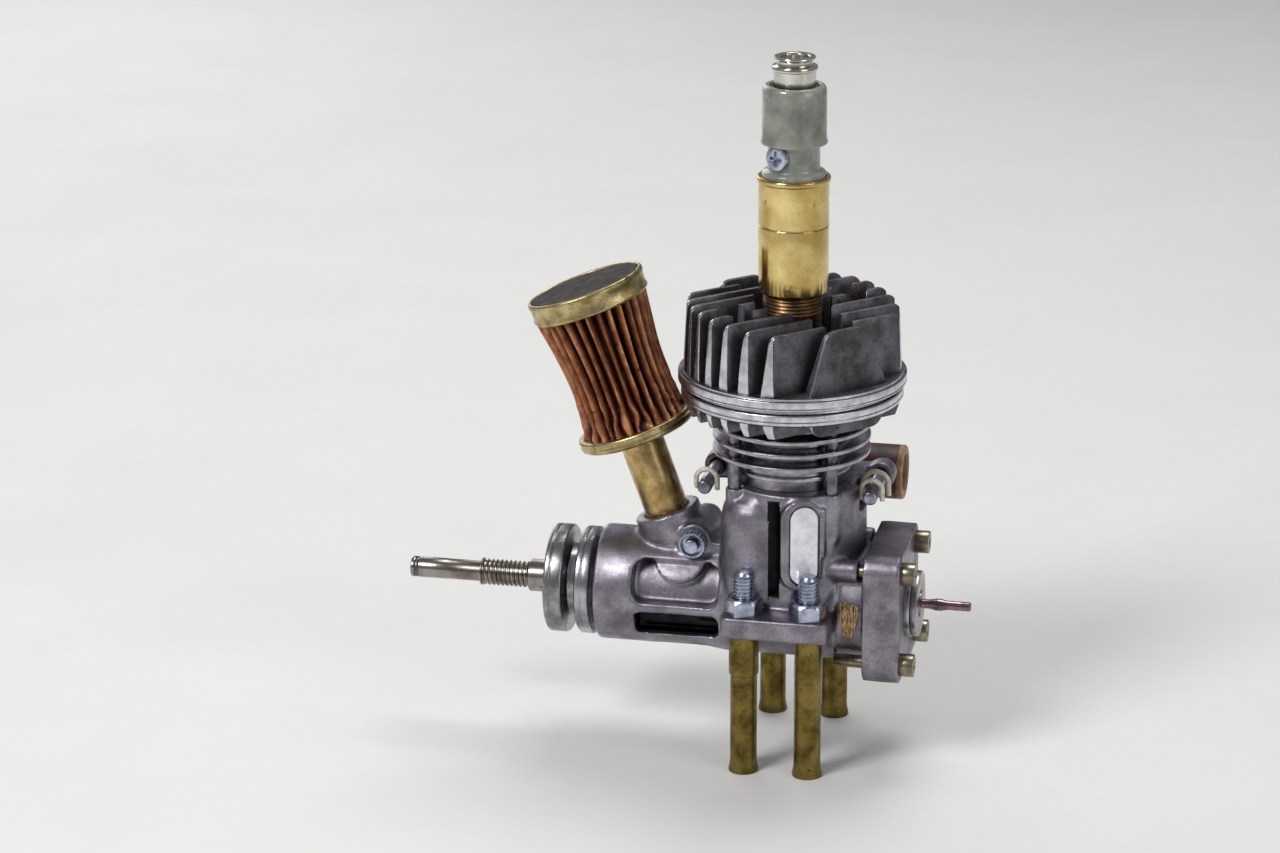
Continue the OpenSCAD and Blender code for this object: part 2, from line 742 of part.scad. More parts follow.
module filter_base() {
    color([0.75, 0.66, 0.32]) on_intake(filter_foot) difference() {
        rotate_extrude() polygon([[0, 0], [cap_r - 1, 0], [cap_r, 0.6], [cap_r, low_cap_h - 0.5],
            [cap_r - 0.4, low_cap_h], [0, low_cap_h]]);
        translate([0, 0, -1]) cylinder(r = tube_r + eps, h = low_cap_h + 2);
    }
}

// Mean radius of the pleated element at the share f of its length
function pleat_mid_r(f) = cap_r - 1.7 - 1.7 * sin(180 * pow(f, 0.85));

// One ring of the pleated element's outer points
function pleat_ring(f) = [for (i = [0 : 2 * pleat_n - 1])
    let (r = pleat_mid_r(f) + (i % 2 == 0 ? 1 : -1) * pleat_depth / 2, a = i * 180 / pleat_n)
    [r * cos(a), r * sin(a), f * pleat_len]];

// One ring of the element's inner points
function core_ring(f, r) = [for (i = [0 : 2 * pleat_n - 1])
    let (a = i * 180 / pleat_n) [r * cos(a), r * sin(a), f * pleat_len]];

module filter_element() {
    n = 2 * pleat_n;
    outer = [for (f = [0, 0.15, 0.35, 0.55, 0.75, 0.9, 1]) pleat_ring(f)];
    rings = concat(outer, [core_ring(1, 8.8), core_ring(0, 8.8)]);
    points = [for (r = rings, p = r) p];
    stations = len(rings);
    faces = [for (k = [0 : stations - 1], i = [0 : n - 1])
        let (k2 = (k + 1) % stations, j = (i + 1) % n)
        each [[k * n + i, k2 * n + i, k2 * n + j], [k * n + i, k2 * n + j, k * n + j]]];
    color([0.6, 0.25, 0.15]) on_intake(element_low) polyhedron(points, faces);
}

module filter_core() {
    color("silver") on_intake(element_low) ring(8.7, 8.1, pleat_len);
}

module filter_cap() {
    color([0.72, 0.66, 0.42]) on_intake(element_top) difference() {
        rotate_extrude() polygon([[0, 0], [cap_r - 0.3, 0], [cap_r, 0.4], [cap_r, top_cap_h - 0.8],
            [cap_r - 0.5, top_cap_h], [0, top_cap_h]]);
        translate([0, 0, top_cap_h - 0.8]) cylinder(r = cap_r - 1, h = 2);
    }
}

module filter_pad() {
    color([0.2, 0.2, 0.2]) on_intake(filter_top - 0.8) cylinder(r = cap_r - 1.1, h = 0.7);
}

module pinch_bolt() {
    color("silver") translate([pinch_x, 0, pinch_z]) {
        y_cyl(-ear_y - 4.2, ear_y + eps, pinch_r);
        y_cyl(ear_y, ear_y + 3, 3);
    }
}

module pinch_washer() {
    color("silver") translate([pinch_x, 0, pinch_z]) difference() {
        y_cyl(-ear_y - 0.8, -ear_y, washer_r);
        y_cyl(-far, far, pinch_r + eps);
    }
}

module pinch_nut() {
    color([0.7, 0.72, 0.8]) translate([pinch_x, -ear_y - 0.8, pinch_z]) difference() {
        rotate([90, 0, 0]) cylinder(d = 6.35, h = 2.6, $fn = 6);
        y_cyl(-far, far, pinch_r + eps);
    }
}

module rear_cover() {
    color([0.6, 0.59, 0.63]) difference() {
        union() {
            translate([cover_front, 0, 0]) rotate([90, 0, 90]) linear_extrude(cover_t)
                round_rect(cover_w, cover_w, cover_corner_r);
            x_cyl(12.5, cover_front + 1, rear_bore_r - seat);
        }
        x_cyl(11, cover_back + 1, 5.6);
        x_cyl(cover_back - 1.2, cover_back + 1, 6.6);
        at_cover_screws() cylinder(r = cover_screw_r + seat, h = far);
    }
}

module cover_screws() {
    color([0.72, 0.6, 0.32]) at_cover_screws() difference() {
        union() {
            translate([0, 0, 12.4]) cylinder(r = cover_screw_r, h = cover_back - 12.4 + 1);
            translate([0, 0, cover_back]) cylinder(r = 2.7, h = 3.2);
        }
        translate([0, 0, cover_back + 1.6]) cylinder(r = 1.3, h = 3, $fn = 6);
    }
}

module shaft_retainer() {
    color([0.75, 0.75, 0.78]) difference() {
        union() {
            x_cyl(cover_back, cover_back + retainer_t, retainer_r);
            x_cyl(cover_back + retainer_t - eps, cover_back + retainer_t + 0.4, retainer_r - 1.4);
            x_cyl(cover_back + retainer_t + 0.3, retainer_back, retainer_r - 0.2);
        }
        x_cyl(cover_back - 1, retainer_back + 1, starter_r + 0.3);
    }
}

module one_way_bearing() {
    color("lightsteelblue") x_ring(13, cover_back - 0.5, 5.5, starter_r + fit);
}

// Short crumpled tuft of fibres, as a bent stack of strands
module fibre_tuft() {
    color([0.65, 0.5, 0.3]) translate([16.2, -spigot_r - 1.5, 0]) {
        for (i = [0 : 4])
            translate([0.9 * sin(i * 80), 0.35 * cos(i * 110), -3.4 + i * 0.5])
                rotate([4 * sin(i * 75), 8 * cos(i * 130), 0])
                    cylinder(r = 0.8, h = 7, center = false, $fn = 16);
    }
}

module exhaust_gasket() {
    color([0.4, 0.35, 0.3]) difference() {
        translate([-9, exhaust_y, exhaust_z - 7.2]) cube([18, 0.6, 14.4]);
        translate([0, 0, exhaust_z]) y_cyl(exhaust_y - 1, exhaust_y + 2, port_r);
    }
}

module exhaust_manifold() {
    face = exhaust_y + 0.6;
    color([0.55, 0.55, 0.58]) difference() {
        union() {
            translate([-9, face, exhaust_z - 7.2]) cube([18, 2.6, 14.4]);
            translate([0, 0, exhaust_z]) y_cyl(face, manifold_y, manifold_r);
            translate([0, manifold_y, exhaust_z]) sphere(r = manifold_r);
            translate([0, manifold_y, exhaust_z]) x_cyl(0, coupler_x, manifold_r);
            translate([0, manifold_y, exhaust_z]) x_cyl(coupler_x - 2, coupler_x + 6.9, manifold_r - 1);
        }
        translate([0, 0, exhaust_z]) y_cyl(face - 1, manifold_y, port_r);
        translate([0, manifold_y, exhaust_z]) sphere(r = port_r);
        translate([0, manifold_y, exhaust_z]) x_cyl(0, coupler_x + 9, port_r - 0.6);
    }
}

module exhaust_pins() {
    color([0.5, 0.5, 0.55]) for (x = [-1, 1])
        translate([x * pin_x, 0, pin_z]) y_cyl(-7, 16, pin_r);
}

// Half ring of wire in an XZ plane with straight tails
module wire_hook(r, wire, tail) {
    rotate([90, 0, 0]) {
        rotate_extrude(angle = 180) translate([r, 0]) circle(r = wire, $fn = 24);
        for (s = [-1, 1]) translate([s * r, 0.01, 0]) rotate([90, 0, 0])
            cylinder(r = wire, h = tail, $fn = 24);
    }
}

module exhaust_hooks() {
    color([0.8, 0.76, 0.66]) {
        for (x = [-1, 1])
            translate([x * pin_x, hook_y, pin_z + 1]) wire_hook(pin_r + hook_wire + 0.15, hook_wire, 2.4);
        translate([pin_x + 0.2, long_hook_y, pin_z + 1])
            wire_hook(pin_r + hook_wire + 0.7, hook_wire, 4.4);
    }
}

module exhaust_coupler() {
    color([0.4, 0.15, 0.12]) translate([0, manifold_y, exhaust_z]) {
        x_ring(coupler_x, coupler_x + 7, coupler_r, manifold_r - 1 + fit);
        x_ring(coupler_x + 7 - eps, coupler_x + coupler_len, coupler_r, lip_r);
    }
}

module crankshaft() {
    color([0.68, 0.66, 0.64]) {
        difference() {
            x_cyl(web_front, web_front + web_t, web_r);
            for (s = [0, 1]) mirror([0, s, 0]) translate([web_front - 1, crankpin_r + 3, -14])
                rotate([-12, 0, 0]) cube([web_t + 2, 12, 11]);
        }
        translate([0, 0, -crank_throw]) x_cyl(web_front + web_t - eps, pin_end, crankpin_r);
        x_cyl(housing_front + 7, web_front + eps, journal_r);
        x_cyl(nut_seat + 3, housing_front + 7 + eps, 5);
        x_cyl(thread_start, nut_seat + 3 + eps, 3.9);
        x_cyl(thread_end, thread_start + eps, thread_r);
        x_cyl(thread_end - 0.4, thread_end + eps, thread_r + 0.15);
        difference() {
            x_cyl(pilot_end, thread_end, pilot_r);
            x_ring(pilot_end + 1, pilot_end + 1.9, pilot_r + 1, pilot_r - 0.4);
        }
    }
}

module driver_cone() {
    color([0.55, 0.5, 0.45]) difference() {
        union() {
            x_cone(nut_seat + 3.1, driver_back + 1.6, 5.5, cone_r + 0.4);
        }
        x_cyl(-far, 0, 5 + eps);
    }
}

module prop_driver() {
    color([0.6, 0.58, 0.54]) difference() {
        union() {
            x_cyl(driver_front, driver_back, driver_r);
            x_cyl(driver_back - eps, collar_front - 0.1 - free, neck_r);
        }
        x_cyl(driver_front - 1, driver_back + 4, cone_r + 0.5);
    }
}

module shaft_circlip() {
    color("dimgray") difference() {
        x_ring(pilot_end + 1.1, pilot_end + 1.8, pilot_r - 0.04, pilot_r - 0.38);
        translate([pilot_end, -0.8, 0]) cube([4, 1.6, 10]);
    }
}

module piston() {
    color([0.72, 0.72, 0.74]) translate([0, 0, wrist_rest]) difference() {
        translate([0, 0, -skirt_h]) cylinder(r = piston_r, h = skirt_h + crown_h);
        difference() {
            translate([0, 0, -skirt_h - 1]) cylinder(r = piston_r - 1.6, h = skirt_h + crown_h - 1.4);
            for (s = [-1, 1]) translate([s * 7, 0, 0]) x_cyl(-2.6, 2.6, wrist_r + 1.6);
        }
        x_cyl(-far, far, wrist_r + eps);
        translate([0, 0, crown_h - 3.2]) ring(piston_r + 1, piston_r - 1.2, ring_h);
    }
}

module piston_ring() {
    color("dimgray") translate([0, 0, wrist_rest + crown_h - 3.15]) difference() {
        ring(piston_r, piston_r - 1.1, ring_h - 0.1);
        translate([0, -0.3, -1]) cube([20, 0.6, 4]);
    }
}

module wrist_pin() {
    color("silver") translate([0, 0, wrist_rest]) x_ring(-9.2, 9.2, wrist_r, 1.2);
}

module wrist_clips() {
    color("dimgray") translate([0, 0, wrist_rest]) for (s = [-1, 1])
        x_ring(s > 0 ? 9.25 : -9.85, s > 0 ? 9.85 : -9.25, wrist_r, wrist_r - 0.5);
}

module connecting_rod() {
    half = rod_t / 2;
    color([0.7, 0.7, 0.73]) translate([0, 0, wrist_rest]) difference() {
        union() {
            x_cyl(-half, half, small_end_r);
            translate([0, 0, -rod_len]) x_cyl(-half, half, big_end_r);
            translate([0, 0, -rod_len]) rotate([90, 0, 90]) linear_extrude(rod_t - 1.4, center = true)
                polygon([[-2.6, 0], [2.6, 0], [2.1, rod_len], [-2.1, rod_len]]);
        }
        x_cyl(-far, far, wrist_r + 0.7);
        translate([0, 0, -rod_len]) x_cyl(-far, far, crankpin_r + 0.6);
        for (s = [-1, 1]) translate([s * (half - 0.7), 0, -rod_len / 2]) rotate([90, 0, 90])
            linear_extrude(1.2, center = true) round_rect(2.2, rod_len - 12, 1);
    }
}

module rod_bushes() {
    half = rod_t / 2;
    color([0.75, 0.55, 0.3]) translate([0, 0, wrist_rest]) {
        x_ring(-half, half, wrist_r + 0.7, wrist_r + fit);
        translate([0, 0, -rod_len]) x_ring(-half, half, crankpin_r + 0.6, crankpin_r + fit);
    }
}

module starter_shaft() {
    color([0.6, 0.45, 0.5]) {
        x_cyl(disc_back - 1, retainer_back + 0.2, starter_r);
        x_cyl(retainer_back, rear_shaft_tip, rear_shaft_r);
        x_cone(retainer_back + 2.2, retainer_back + 4, rear_shaft_r, rear_shaft_r + 0.35);
        x_cone(retainer_back + 4 - eps, retainer_back + 6.4, rear_shaft_r + 0.35, rear_shaft_r);
    }
}

module drive_disc() {
    color([0.6, 0.6, 0.6]) difference() {
        x_cyl(disc_front, disc_back, 10.8);
        x_cyl(disc_front - 1, disc_back + 1, starter_r + eps);
        translate([disc_front - 1, -crankpin_r - 0.4, -far])
            cube([6, 2 * crankpin_r + 0.8, far - crank_throw + crankpin_r + 0.4]);
    }
}

crankcase();
name_plate();
nose_collar();
front_bearing();
rear_bearing();
cylinder_liner();
cylinder_jacket();
lower_ring();
head_gasket();
combustion_button();
cylinder_head();
head_bolts();
plug_collar();
brass_sleeve();
insulator();
clamp_screw();
contact_pin();
terminal();
lug_studs();
lug_nuts();
leg_front_left();
leg_front_right();
leg_rear_left();
leg_rear_right();
intake_tube();
filter_base();
filter_element();
filter_core();
filter_cap();
filter_pad();
pinch_bolt();
pinch_washer();
pinch_nut();
rear_cover();
cover_screws();
shaft_retainer();
one_way_bearing();
fibre_tuft();
exhaust_gasket();
exhaust_manifold();
exhaust_pins();
exhaust_hooks();
exhaust_coupler();
crankshaft();
driver_cone();
prop_driver();
shaft_circlip();
piston();
piston_ring();
wrist_pin();
wrist_clips();
connecting_rod();
rod_bushes();
starter_shaft();
drive_disc();
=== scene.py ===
import json
import math
import random

import bpy
from mathutils import Matrix, Vector, noise


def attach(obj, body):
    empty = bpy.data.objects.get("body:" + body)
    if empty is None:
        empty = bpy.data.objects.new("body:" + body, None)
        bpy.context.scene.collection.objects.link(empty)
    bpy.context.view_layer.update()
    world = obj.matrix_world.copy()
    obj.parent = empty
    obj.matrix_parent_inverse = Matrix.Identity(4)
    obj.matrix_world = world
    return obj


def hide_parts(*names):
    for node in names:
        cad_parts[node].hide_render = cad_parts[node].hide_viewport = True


# Miniature two-stroke engine on four brass legs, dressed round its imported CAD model.
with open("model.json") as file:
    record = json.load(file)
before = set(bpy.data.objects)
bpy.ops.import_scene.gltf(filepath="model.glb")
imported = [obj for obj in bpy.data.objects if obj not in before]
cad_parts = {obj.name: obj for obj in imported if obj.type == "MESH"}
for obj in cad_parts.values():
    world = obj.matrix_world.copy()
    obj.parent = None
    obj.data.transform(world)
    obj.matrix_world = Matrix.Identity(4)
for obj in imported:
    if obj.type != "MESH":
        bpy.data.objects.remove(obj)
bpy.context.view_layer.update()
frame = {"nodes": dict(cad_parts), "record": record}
nodes = frame["nodes"]
slot_of = {part["node"]: part["material_slot"] for part in frame["record"]["subparts"]}
body_of = {n: body for body, names in frame["record"]["behaviour"]["bodies"].items() for n in names}

MM = 0.001
FLOOR_Z = -37.75
# Studs, nuts and legs stand at (+-STUD_X, +-STUD_Y)
STUD_X = 7.6
STUD_Y = 19.0
# Exhaust pins cross at (+-PIN_X, PIN_Z)
PIN_X = 19.6
PIN_Z = 27.6
# The intake leans forward by this much
LEAN = math.radians(19.9)
UPRIGHT = Matrix.Identity(4)
ALONG_SHAFT = Matrix.Rotation(math.pi / 2, 4, "Y")
ACROSS = Matrix.Rotation(-math.pi / 2, 4, "X")
INTAKE = Matrix.Translation((-22.96 * MM, 0, 0)) @ Matrix.Rotation(-LEAN, 4, "Y")
PINCH = Matrix.Translation((-21.7 * MM, 0, 14.45 * MM)) @ ACROSS


# ---------------------------------------------------------------- camera and light

def look_from_photo():
    """The camera of the photograph, worked out from measured points of the object."""
    az, el, roll = math.radians(12.663), math.radians(18.334), math.radians(-0.333)
    away = Vector((math.sin(az) * math.cos(el), -math.cos(az) * math.cos(el), math.sin(el)))
    level = Vector((math.cos(az), math.sin(az), 0))
    rise = away.cross(level)
    right = math.cos(roll) * level + math.sin(roll) * rise
    up = -math.sin(roll) * level + math.cos(roll) * rise
    data = bpy.data.cameras.new("photo_camera")
    data.lens = 101.70
    data.sensor_width = 36
    data.sensor_fit = "HORIZONTAL"
    data.clip_start = 0.01
    data.clip_end = 30
    camera = bpy.data.objects.new("photo_camera", data)
    bpy.context.scene.collection.objects.link(camera)
    turn = Matrix((right, up, away)).transposed().to_4x4()
    spot = (away * 857.908 - right * 35.733 + up * 39.680) * MM
    camera.matrix_world = Matrix.Translation(spot) @ turn
    bpy.context.scene.camera = camera


def soft_lamp(name, spot, size, watts, colour=(1, 1, 1)):
    """A square studio lamp that points at the middle of the engine."""
    data = bpy.data.lights.new(name, "AREA")
    data.shape = "SQUARE"
    data.size = size
    data.energy = watts
    data.color = colour
    lamp = bpy.data.objects.new(name, data)
    bpy.context.scene.collection.objects.link(lamp)
    aim = Vector((-0.02, 0, 0.045)) - Vector(spot)
    lamp.matrix_world = Matrix.Translation(spot) @ aim.to_track_quat("-Z", "Y").to_matrix().to_4x4()


look_from_photo()
soft_lamp("key_lamp", (-0.55, -0.75, 0.85), 0.4, 8.5)
soft_lamp("fill_lamp", (0.95, -0.55, 0.45), 0.6, 2.4)
soft_lamp("top_lamp", (0.05, 0.35, 1.0), 0.45, 4.6)
soft_lamp("back_lamp", (-0.6, 0.8, 0.4), 0.6, 2.0)

# ---------------------------------------------------------------- materials


def hexed(code):
    """An sRGB hex colour as linear RGBA."""
    parts = [int(code[i:i + 2], 16) / 255 for i in (1, 3, 5)]
    return tuple(c / 12.92 if c <= 0.04045 else ((c + 0.055) / 1.055) ** 2.4 for c in parts) + (1,)


def add(tree, kind, links=(), **settings):
    """Adds a node: links are (input, socket) pairs, settings are its own values or its inputs' values."""
    made = tree.nodes.new("ShaderNode" + kind)
    for key, value in settings.items():
        if hasattr(made, key):
            setattr(made, key, value)
        else:
            made.inputs[key.replace("_", " ")].default_value = value
    for key, socket in links:
        tree.links.new(socket, made.inputs[key])
    return made


def finish(name, light, dark, rough, blotch=5.0, grain=(0.4, 0.03), speck=0.12, lines=(),
           stain=None, metallic=1.0, fold_shade=None, **shader):
    """A procedural finish in Object coordinates. Sizes and depths are in millimetres.

    light and dark are mottled together in blotches, grain is (size, depth) of the surface's texture,
    speck is how far the grain darkens the colour, lines are (type, axis, pitch, depth) of machining
    marks, and stain is (colour, size, share, extra roughness). The last colour argument, for folded meshes,
    is painted shade for a fold's valleys, placed by the mesh's attribute of the same name.
    """
    mat = bpy.data.materials.new(name)
    mat.use_nodes = True
    tree = mat.node_tree
    body = tree.nodes["Principled BSDF"]
    body.inputs["Metallic"].default_value = metallic
    for key, value in shader.items():
        body.inputs[key.replace("_", " ")].default_value = value
    where = add(tree, "TexCoord").outputs["Object"]
    cloud = add(tree, "TexNoise", [("Vector", where)], Scale=1 / (blotch * MM), Detail=5.0, Roughness=0.6)
    share = add(tree, "MapRange", [("Value", cloud.outputs["Fac"])], From_Min=0.36, From_Max=0.62)
    colour = add(tree, "MixRGB", [("Fac", share.outputs[0])], Color1=hexed(dark), Color2=hexed(light))
    fine = add(tree, "TexNoise", [("Vector", where)], Scale=1 / (grain[0] * MM), Detail=3.0, Roughness=0.65)
    sharp = add(tree, "MapRange", [("Value", fine.outputs["Fac"])], From_Min=0.3, From_Max=0.7,
                To_Min=1 - speck, To_Max=1 + speck)
    colour = add(tree, "VectorMath", [(0, colour.outputs[0]), (1, sharp.outputs[0])], operation="MULTIPLY")
    colour = colour.outputs[0]
    roughness = add(tree, "MapRange", [("Value", cloud.outputs["Fac"])], From_Min=0.3, From_Max=0.7,
                    To_Min=rough[1], To_Max=rough[0]).outputs[0]
    if stain:
        tone, size, part, extra = stain
        spot = add(tree, "TexNoise", [("Vector", where)], Scale=1 / (size * MM), Detail=6.0,
                   Roughness=0.7, Distortion=0.6)
        mask = add(tree, "MapRange", [("Value", spot.outputs["Fac"])], From_Min=0.66 - part * 0.3,
                   From_Max=0.74 - part * 0.3)
        colour = add(tree, "MixRGB", [("Fac", mask.outputs[0]), ("Color1", colour)],
                     Color2=hexed(tone)).outputs[0]
        roughness = add(tree, "Math", [(0, mask.outputs[0]), (2, roughness)], operation="MULTIPLY_ADD")
        roughness.inputs[1].default_value = extra
        roughness = roughness.outputs[0]
    # Painted shade: the fold valleys are darkened towards this colour, following the mesh's attribute
    if fold_shade:
        fold = add(tree, "Attribute", attribute_name="fold_shade").outputs["Fac"]
        rise = add(tree, "MapRange", [("Value", fold)], From_Min=0.35, From_Max=0.95)
        colour = add(tree, "MixRGB", [("Fac", rise.outputs[0]), ("Color2", colour)], Color1=hexed(fold_shade))
        colour = colour.outputs[0]
    height = add(tree, "Math", [(0, fine.outputs["Fac"])], operation="MULTIPLY")
    height.inputs[1].default_value = grain[1] * MM
    height = height.outputs[0]
    for kind, axis, pitch, depth in lines:
        option = "rings_direction" if kind == "RINGS" else "bands_direction"
        wave = add(tree, "TexWave", [("Vector", where)], wave_type=kind, Scale=0.314159 / (pitch * MM),
                   Distortion=1.2, Detail=2.0, Detail_Scale=1.0, **{option: axis})
        part = add(tree, "Math", [(0, wave.outputs["Fac"]), (2, height)], operation="MULTIPLY_ADD")
        part.inputs[1].default_value = depth * MM
        height = part.outputs[0]
    bump = add(tree, "Bump", [("Height", height)], Strength=1.0, Distance=1.0)
    tree.links.new(colour, body.inputs["Base Color"])
    tree.links.new(roughness, body.inputs["Roughness"])
    tree.links.new(bump.outputs[0], body.inputs["Normal"])
    return mat


FINISHES = {
    # Sand-cast aluminium, blasted: grainy, cool grey with brown oil film
    "cast_aluminium": finish("sand_cast_aluminium", "#9d98a2", "#77727a", (0.32, 0.5), 6, (0.38, 0.05),
                             0.24, stain=("#575049", 7, 0.13, 0.1)),
    # Enamelled aluminium, pearly and smooth, with rubbed scratches
    "bare_plate": finish("enamelled_plate", "#eeecf2", "#d9d6df", (0.2, 0.32), 2, (0.25, 0.004), 0.03,
                         metallic=0.25, Coat_Weight=0.4, Coat_Roughness=0.15),
    # Aluminium turned in the lathe: bright rings
    "turned_aluminium": finish("turned_aluminium", "#b9b7be", "#8a878c", (0.22, 0.36), 5, (0.15, 0.004),
                               0.06, [("BANDS", "Z", 0.28, 0.006)], stain=("#5f564f", 3, 0.08, 0.12)),
    # Sand-cast aluminium of the fins: darker, coarse
    "head_casting": finish("sand_cast_fins", "#716e74", "#4c494b", (0.42, 0.58), 6, (0.4, 0.05), 0.24,
                           stain=("#3d3833", 5, 0.14, 0.1)),
    # Ground, hardened steel: close to a mirror
    "bearing_steel": finish("ground_steel", "#b9bcc2", "#9a9da3", (0.16, 0.26), 3, (0.1, 0.002), 0.04),
    # Honed steel: fine cross rings that catch the light
    "liner_steel": finish("honed_steel", "#a9a9ad", "#8a8a8e", (0.24, 0.34), 4, (0.12, 0.004), 0.06,
                          [("BANDS", "Z", 0.25, 0.004)]),
    # Annealed sheet copper: soft pink sheen
    "gasket_copper": finish("annealed_copper", "#c08058", "#8f5a3c", (0.3, 0.44), 2, (0.15, 0.004), 0.08),
    # Blackened bolts, rubbed grey at the edges
    "black_bolt": finish("blackened_bolt_steel", "#8e8c92", "#5d5a60", (0.26, 0.4), 2, (0.15, 0.006), 0.12),
    # Bronze thread with old oil in it
    "bronze": finish("oily_bronze", "#7d6142", "#4b3826", (0.34, 0.5), 2, (0.2, 0.015), 0.18),
    # Polished brass tube: bright with brown tarnish and pits
    "sleeve_brass": finish("polished_brass", "#e6d192", "#bda05c", (0.12, 0.22), 9, (0.3, 0.004), 0.05,
                           stain=("#6e5026", 6, 0.14, 0.14)),
    # Translucent grey-green moulding of the plug's insulator
    "insulator_plastic": finish("moulded_plastic", "#93958b", "#6d7068", (0.16, 0.28), 6, (0.3, 0.005), 0.05,
                                metallic=0.0, Subsurface_Weight=0.25, Subsurface_Scale=0.003,
                                Subsurface_Radius=(1, 1, 1), Coat_Weight=0.4, Coat_Roughness=0.08),
    # Bright nickel plate over fine turning marks
    "nickel": finish("bright_nickel", "#d9d6cf", "#b9b5ab", (0.1, 0.2), 3, (0.2, 0.003), 0.04,
                     [("BANDS", "Z", 0.3, 0.004)]),
    # Blue-white zinc plating on steel
    "zinc": finish("blue_zinc_plated_steel", "#c3c8d8", "#979db0", (0.22, 0.34), 3, (0.2, 0.01), 0.12,
                   stain=("#6d6a70", 2, 0.08, 0.14)),
    # Dull brass tube, drawn, with fine rings
    "leg_brass": finish("drawn_brass", "#8a7840", "#5a4b22", (0.28, 0.42), 4, (0.25, 0.012), 0.14,
                        [("BANDS", "Z", 0.5, 0.012)], stain=("#3c311b", 4, 0.14, 0.12)),
    # Brushed brass tube with brown stains
    "tube_brass": finish("brushed_brass", "#cdb27a", "#957a4c", (0.24, 0.36), 4, (0.25, 0.012), 0.14,
                         [("BANDS", "Z", 0.35, 0.006)], stain=("#57431f", 4, 0.12, 0.12)),
    # Aged brass caps: pitted, with olive patina
    "filter_brass": finish("aged_brass", "#cbb888", "#8b7c50", (0.26, 0.42), 4, (0.35, 0.04), 0.22,
                           stain=("#565033", 3, 0.22, 0.2)),
    # Pleated gauze soaked with rust-red oil, with painted shade darkening the fold valleys
    "pleated_gauze": finish("oiled_gauze", "#c98a5a", "#9a5236", (0.36, 0.52), 3, (0.35, 0.05), 0.25,
                            metallic=0.4, stain=("#4a241a", 5, 0.2, 0.1), fold_shade="#32130f"),
    # Felt rubbed black: no shine
    "filter_felt": finish("rubbed_felt", "#37322e", "#211e1c", (0.75, 0.9), 3, (0.3, 0.12), 0.4,
                          metallic=0.0),
    # Plain perforated steel behind the gauze
    "core_steel": finish("perforated_steel", "#9c9a98", "#77736f", (0.34, 0.5), 3, (0.3, 0.02), 0.12),
    # Yellow zinc on screws, worn to grey
    "yellow_zinc": finish("yellow_zinc_plated_steel", "#a59b83", "#786e5a", (0.24, 0.38), 2, (0.2, 0.01), 0.14,
                          stain=("#5f545a", 2, 0.12, 0.1)),
    # Pressed steel disc: even, light grey
    "retainer_steel": finish("pressed_steel", "#bab8ba", "#8f8b8a", (0.24, 0.38), 3, (0.2, 0.008), 0.1),
    # Dry tan fibre: dull, with dark gaps
    "fibre": finish("tan_fibre", "#b89c70", "#7c6340", (0.7, 0.85), 2, (0.15, 0.03), 0.3, metallic=0.0),
    # Gasket paper dark with oil
    "gasket_paper": finish("oiled_gasket_paper", "#6a5a48", "#463a2e", (0.7, 0.85), 3, (0.3, 0.03), 0.2,
                           metallic=0.0),
    # Blued pins with a lilac shine at their ends
    "pin_steel": finish("blued_pin_steel", "#a2a3b4", "#6f6c78", (0.24, 0.36), 3, (0.2, 0.008), 0.12),
    # Wire with worn cream coating
    "hook_wire": finish("coated_wire", "#e6dfcd", "#b9ac92", (0.36, 0.5), 2, (0.25, 0.03), 0.16,
                        metallic=0.1, stain=("#5b4a3c", 2, 0.16, 0.15)),
    # Moulded maroon silicone: soft, dull shine
    "coupler_rubber": finish("silicone_rubber", "#571f1e", "#361213", (0.42, 0.56), 5, (0.3, 0.015), 0.12,
                             metallic=0.0),
    # Turned shaft: warm grey with a sharp highlight
    "shaft_steel": finish("turned_shaft_steel", "#a19a92", "#716a64", (0.2, 0.34), 5, (0.2, 0.008), 0.1,
                          stain=("#4d443c", 5, 0.12, 0.1)),
    # Faced driver disc: rings that fan the highlight out
    "driver_steel": finish("turned_driver_steel", "#a9a8aa", "#7a777a", (0.22, 0.36), 4, (0.25, 0.01), 0.14,
                           [("RINGS", "X", 0.45, 0.008)], stain=("#5c5148", 4, 0.12, 0.12)),
    # Dark spring steel of the circlip
    "spring_steel": finish("spring_steel", "#77757a", "#525055", (0.3, 0.4), 2, (0.15, 0.006), 0.12),
    # Machined piston alloy
    "piston_aluminium": finish("machined_piston_alloy", "#b9b9bd", "#97979b", (0.24, 0.36), 4, (0.2, 0.006),
                               0.08, [("BANDS", "Z", 0.3, 0.006)]),
    # Forged rod, tumbled smooth
    "rod_aluminium": finish("forged_alloy", "#b4b4ba", "#8f8f95", (0.3, 0.42), 3, (0.3, 0.015), 0.12),
    # Sintered bronze: fine pores
    "bush_bronze": finish("sintered_bronze", "#b58a56", "#8a6438", (0.34, 0.46), 2, (0.15, 0.01), 0.16),
    # Thin shaft under a film of reddish oil
    "rear_shaft_steel": finish("oil_stained_steel", "#9a7f88", "#65505a", (0.2, 0.34), 3, (0.2, 0.008), 0.12,
                               stain=("#4a3038", 3, 0.2, 0.1)),
}
# Machined rims and fin ends of the castings: bright, with a cutter's lines and nicks
MACHINED = finish("milled_aluminium", "#e0dee5", "#bcb9c0", (0.22, 0.34), 3, (0.18, 0.008), 0.1,
                  [("BANDS", "Z", 0.33, 0.01)], stain=("#76695f", 1.6, 0.06, 0.14))
# Painted shade: a near-black casting colour that stands in for the shadow in the deep recesses
RECESS_SHADE = finish("painted_recess_shade", "#2c292c", "#181617", (0.3, 0.45), 4, (0.38, 0.04), 0.2)
# The coupler's cut end, faded to tan
TAN_RIM = finish("faded_rubber", "#b08a66", "#7c5a44", (0.5, 0.62), 3, (0.3, 0.03), 0.16, metallic=0.0)

for name, obj in nodes.items():
    obj.data.materials.clear()
    obj.data.materials.append(FINISHES[slot_of[name]])

# ---------------------------------------------------------------- modelling helpers


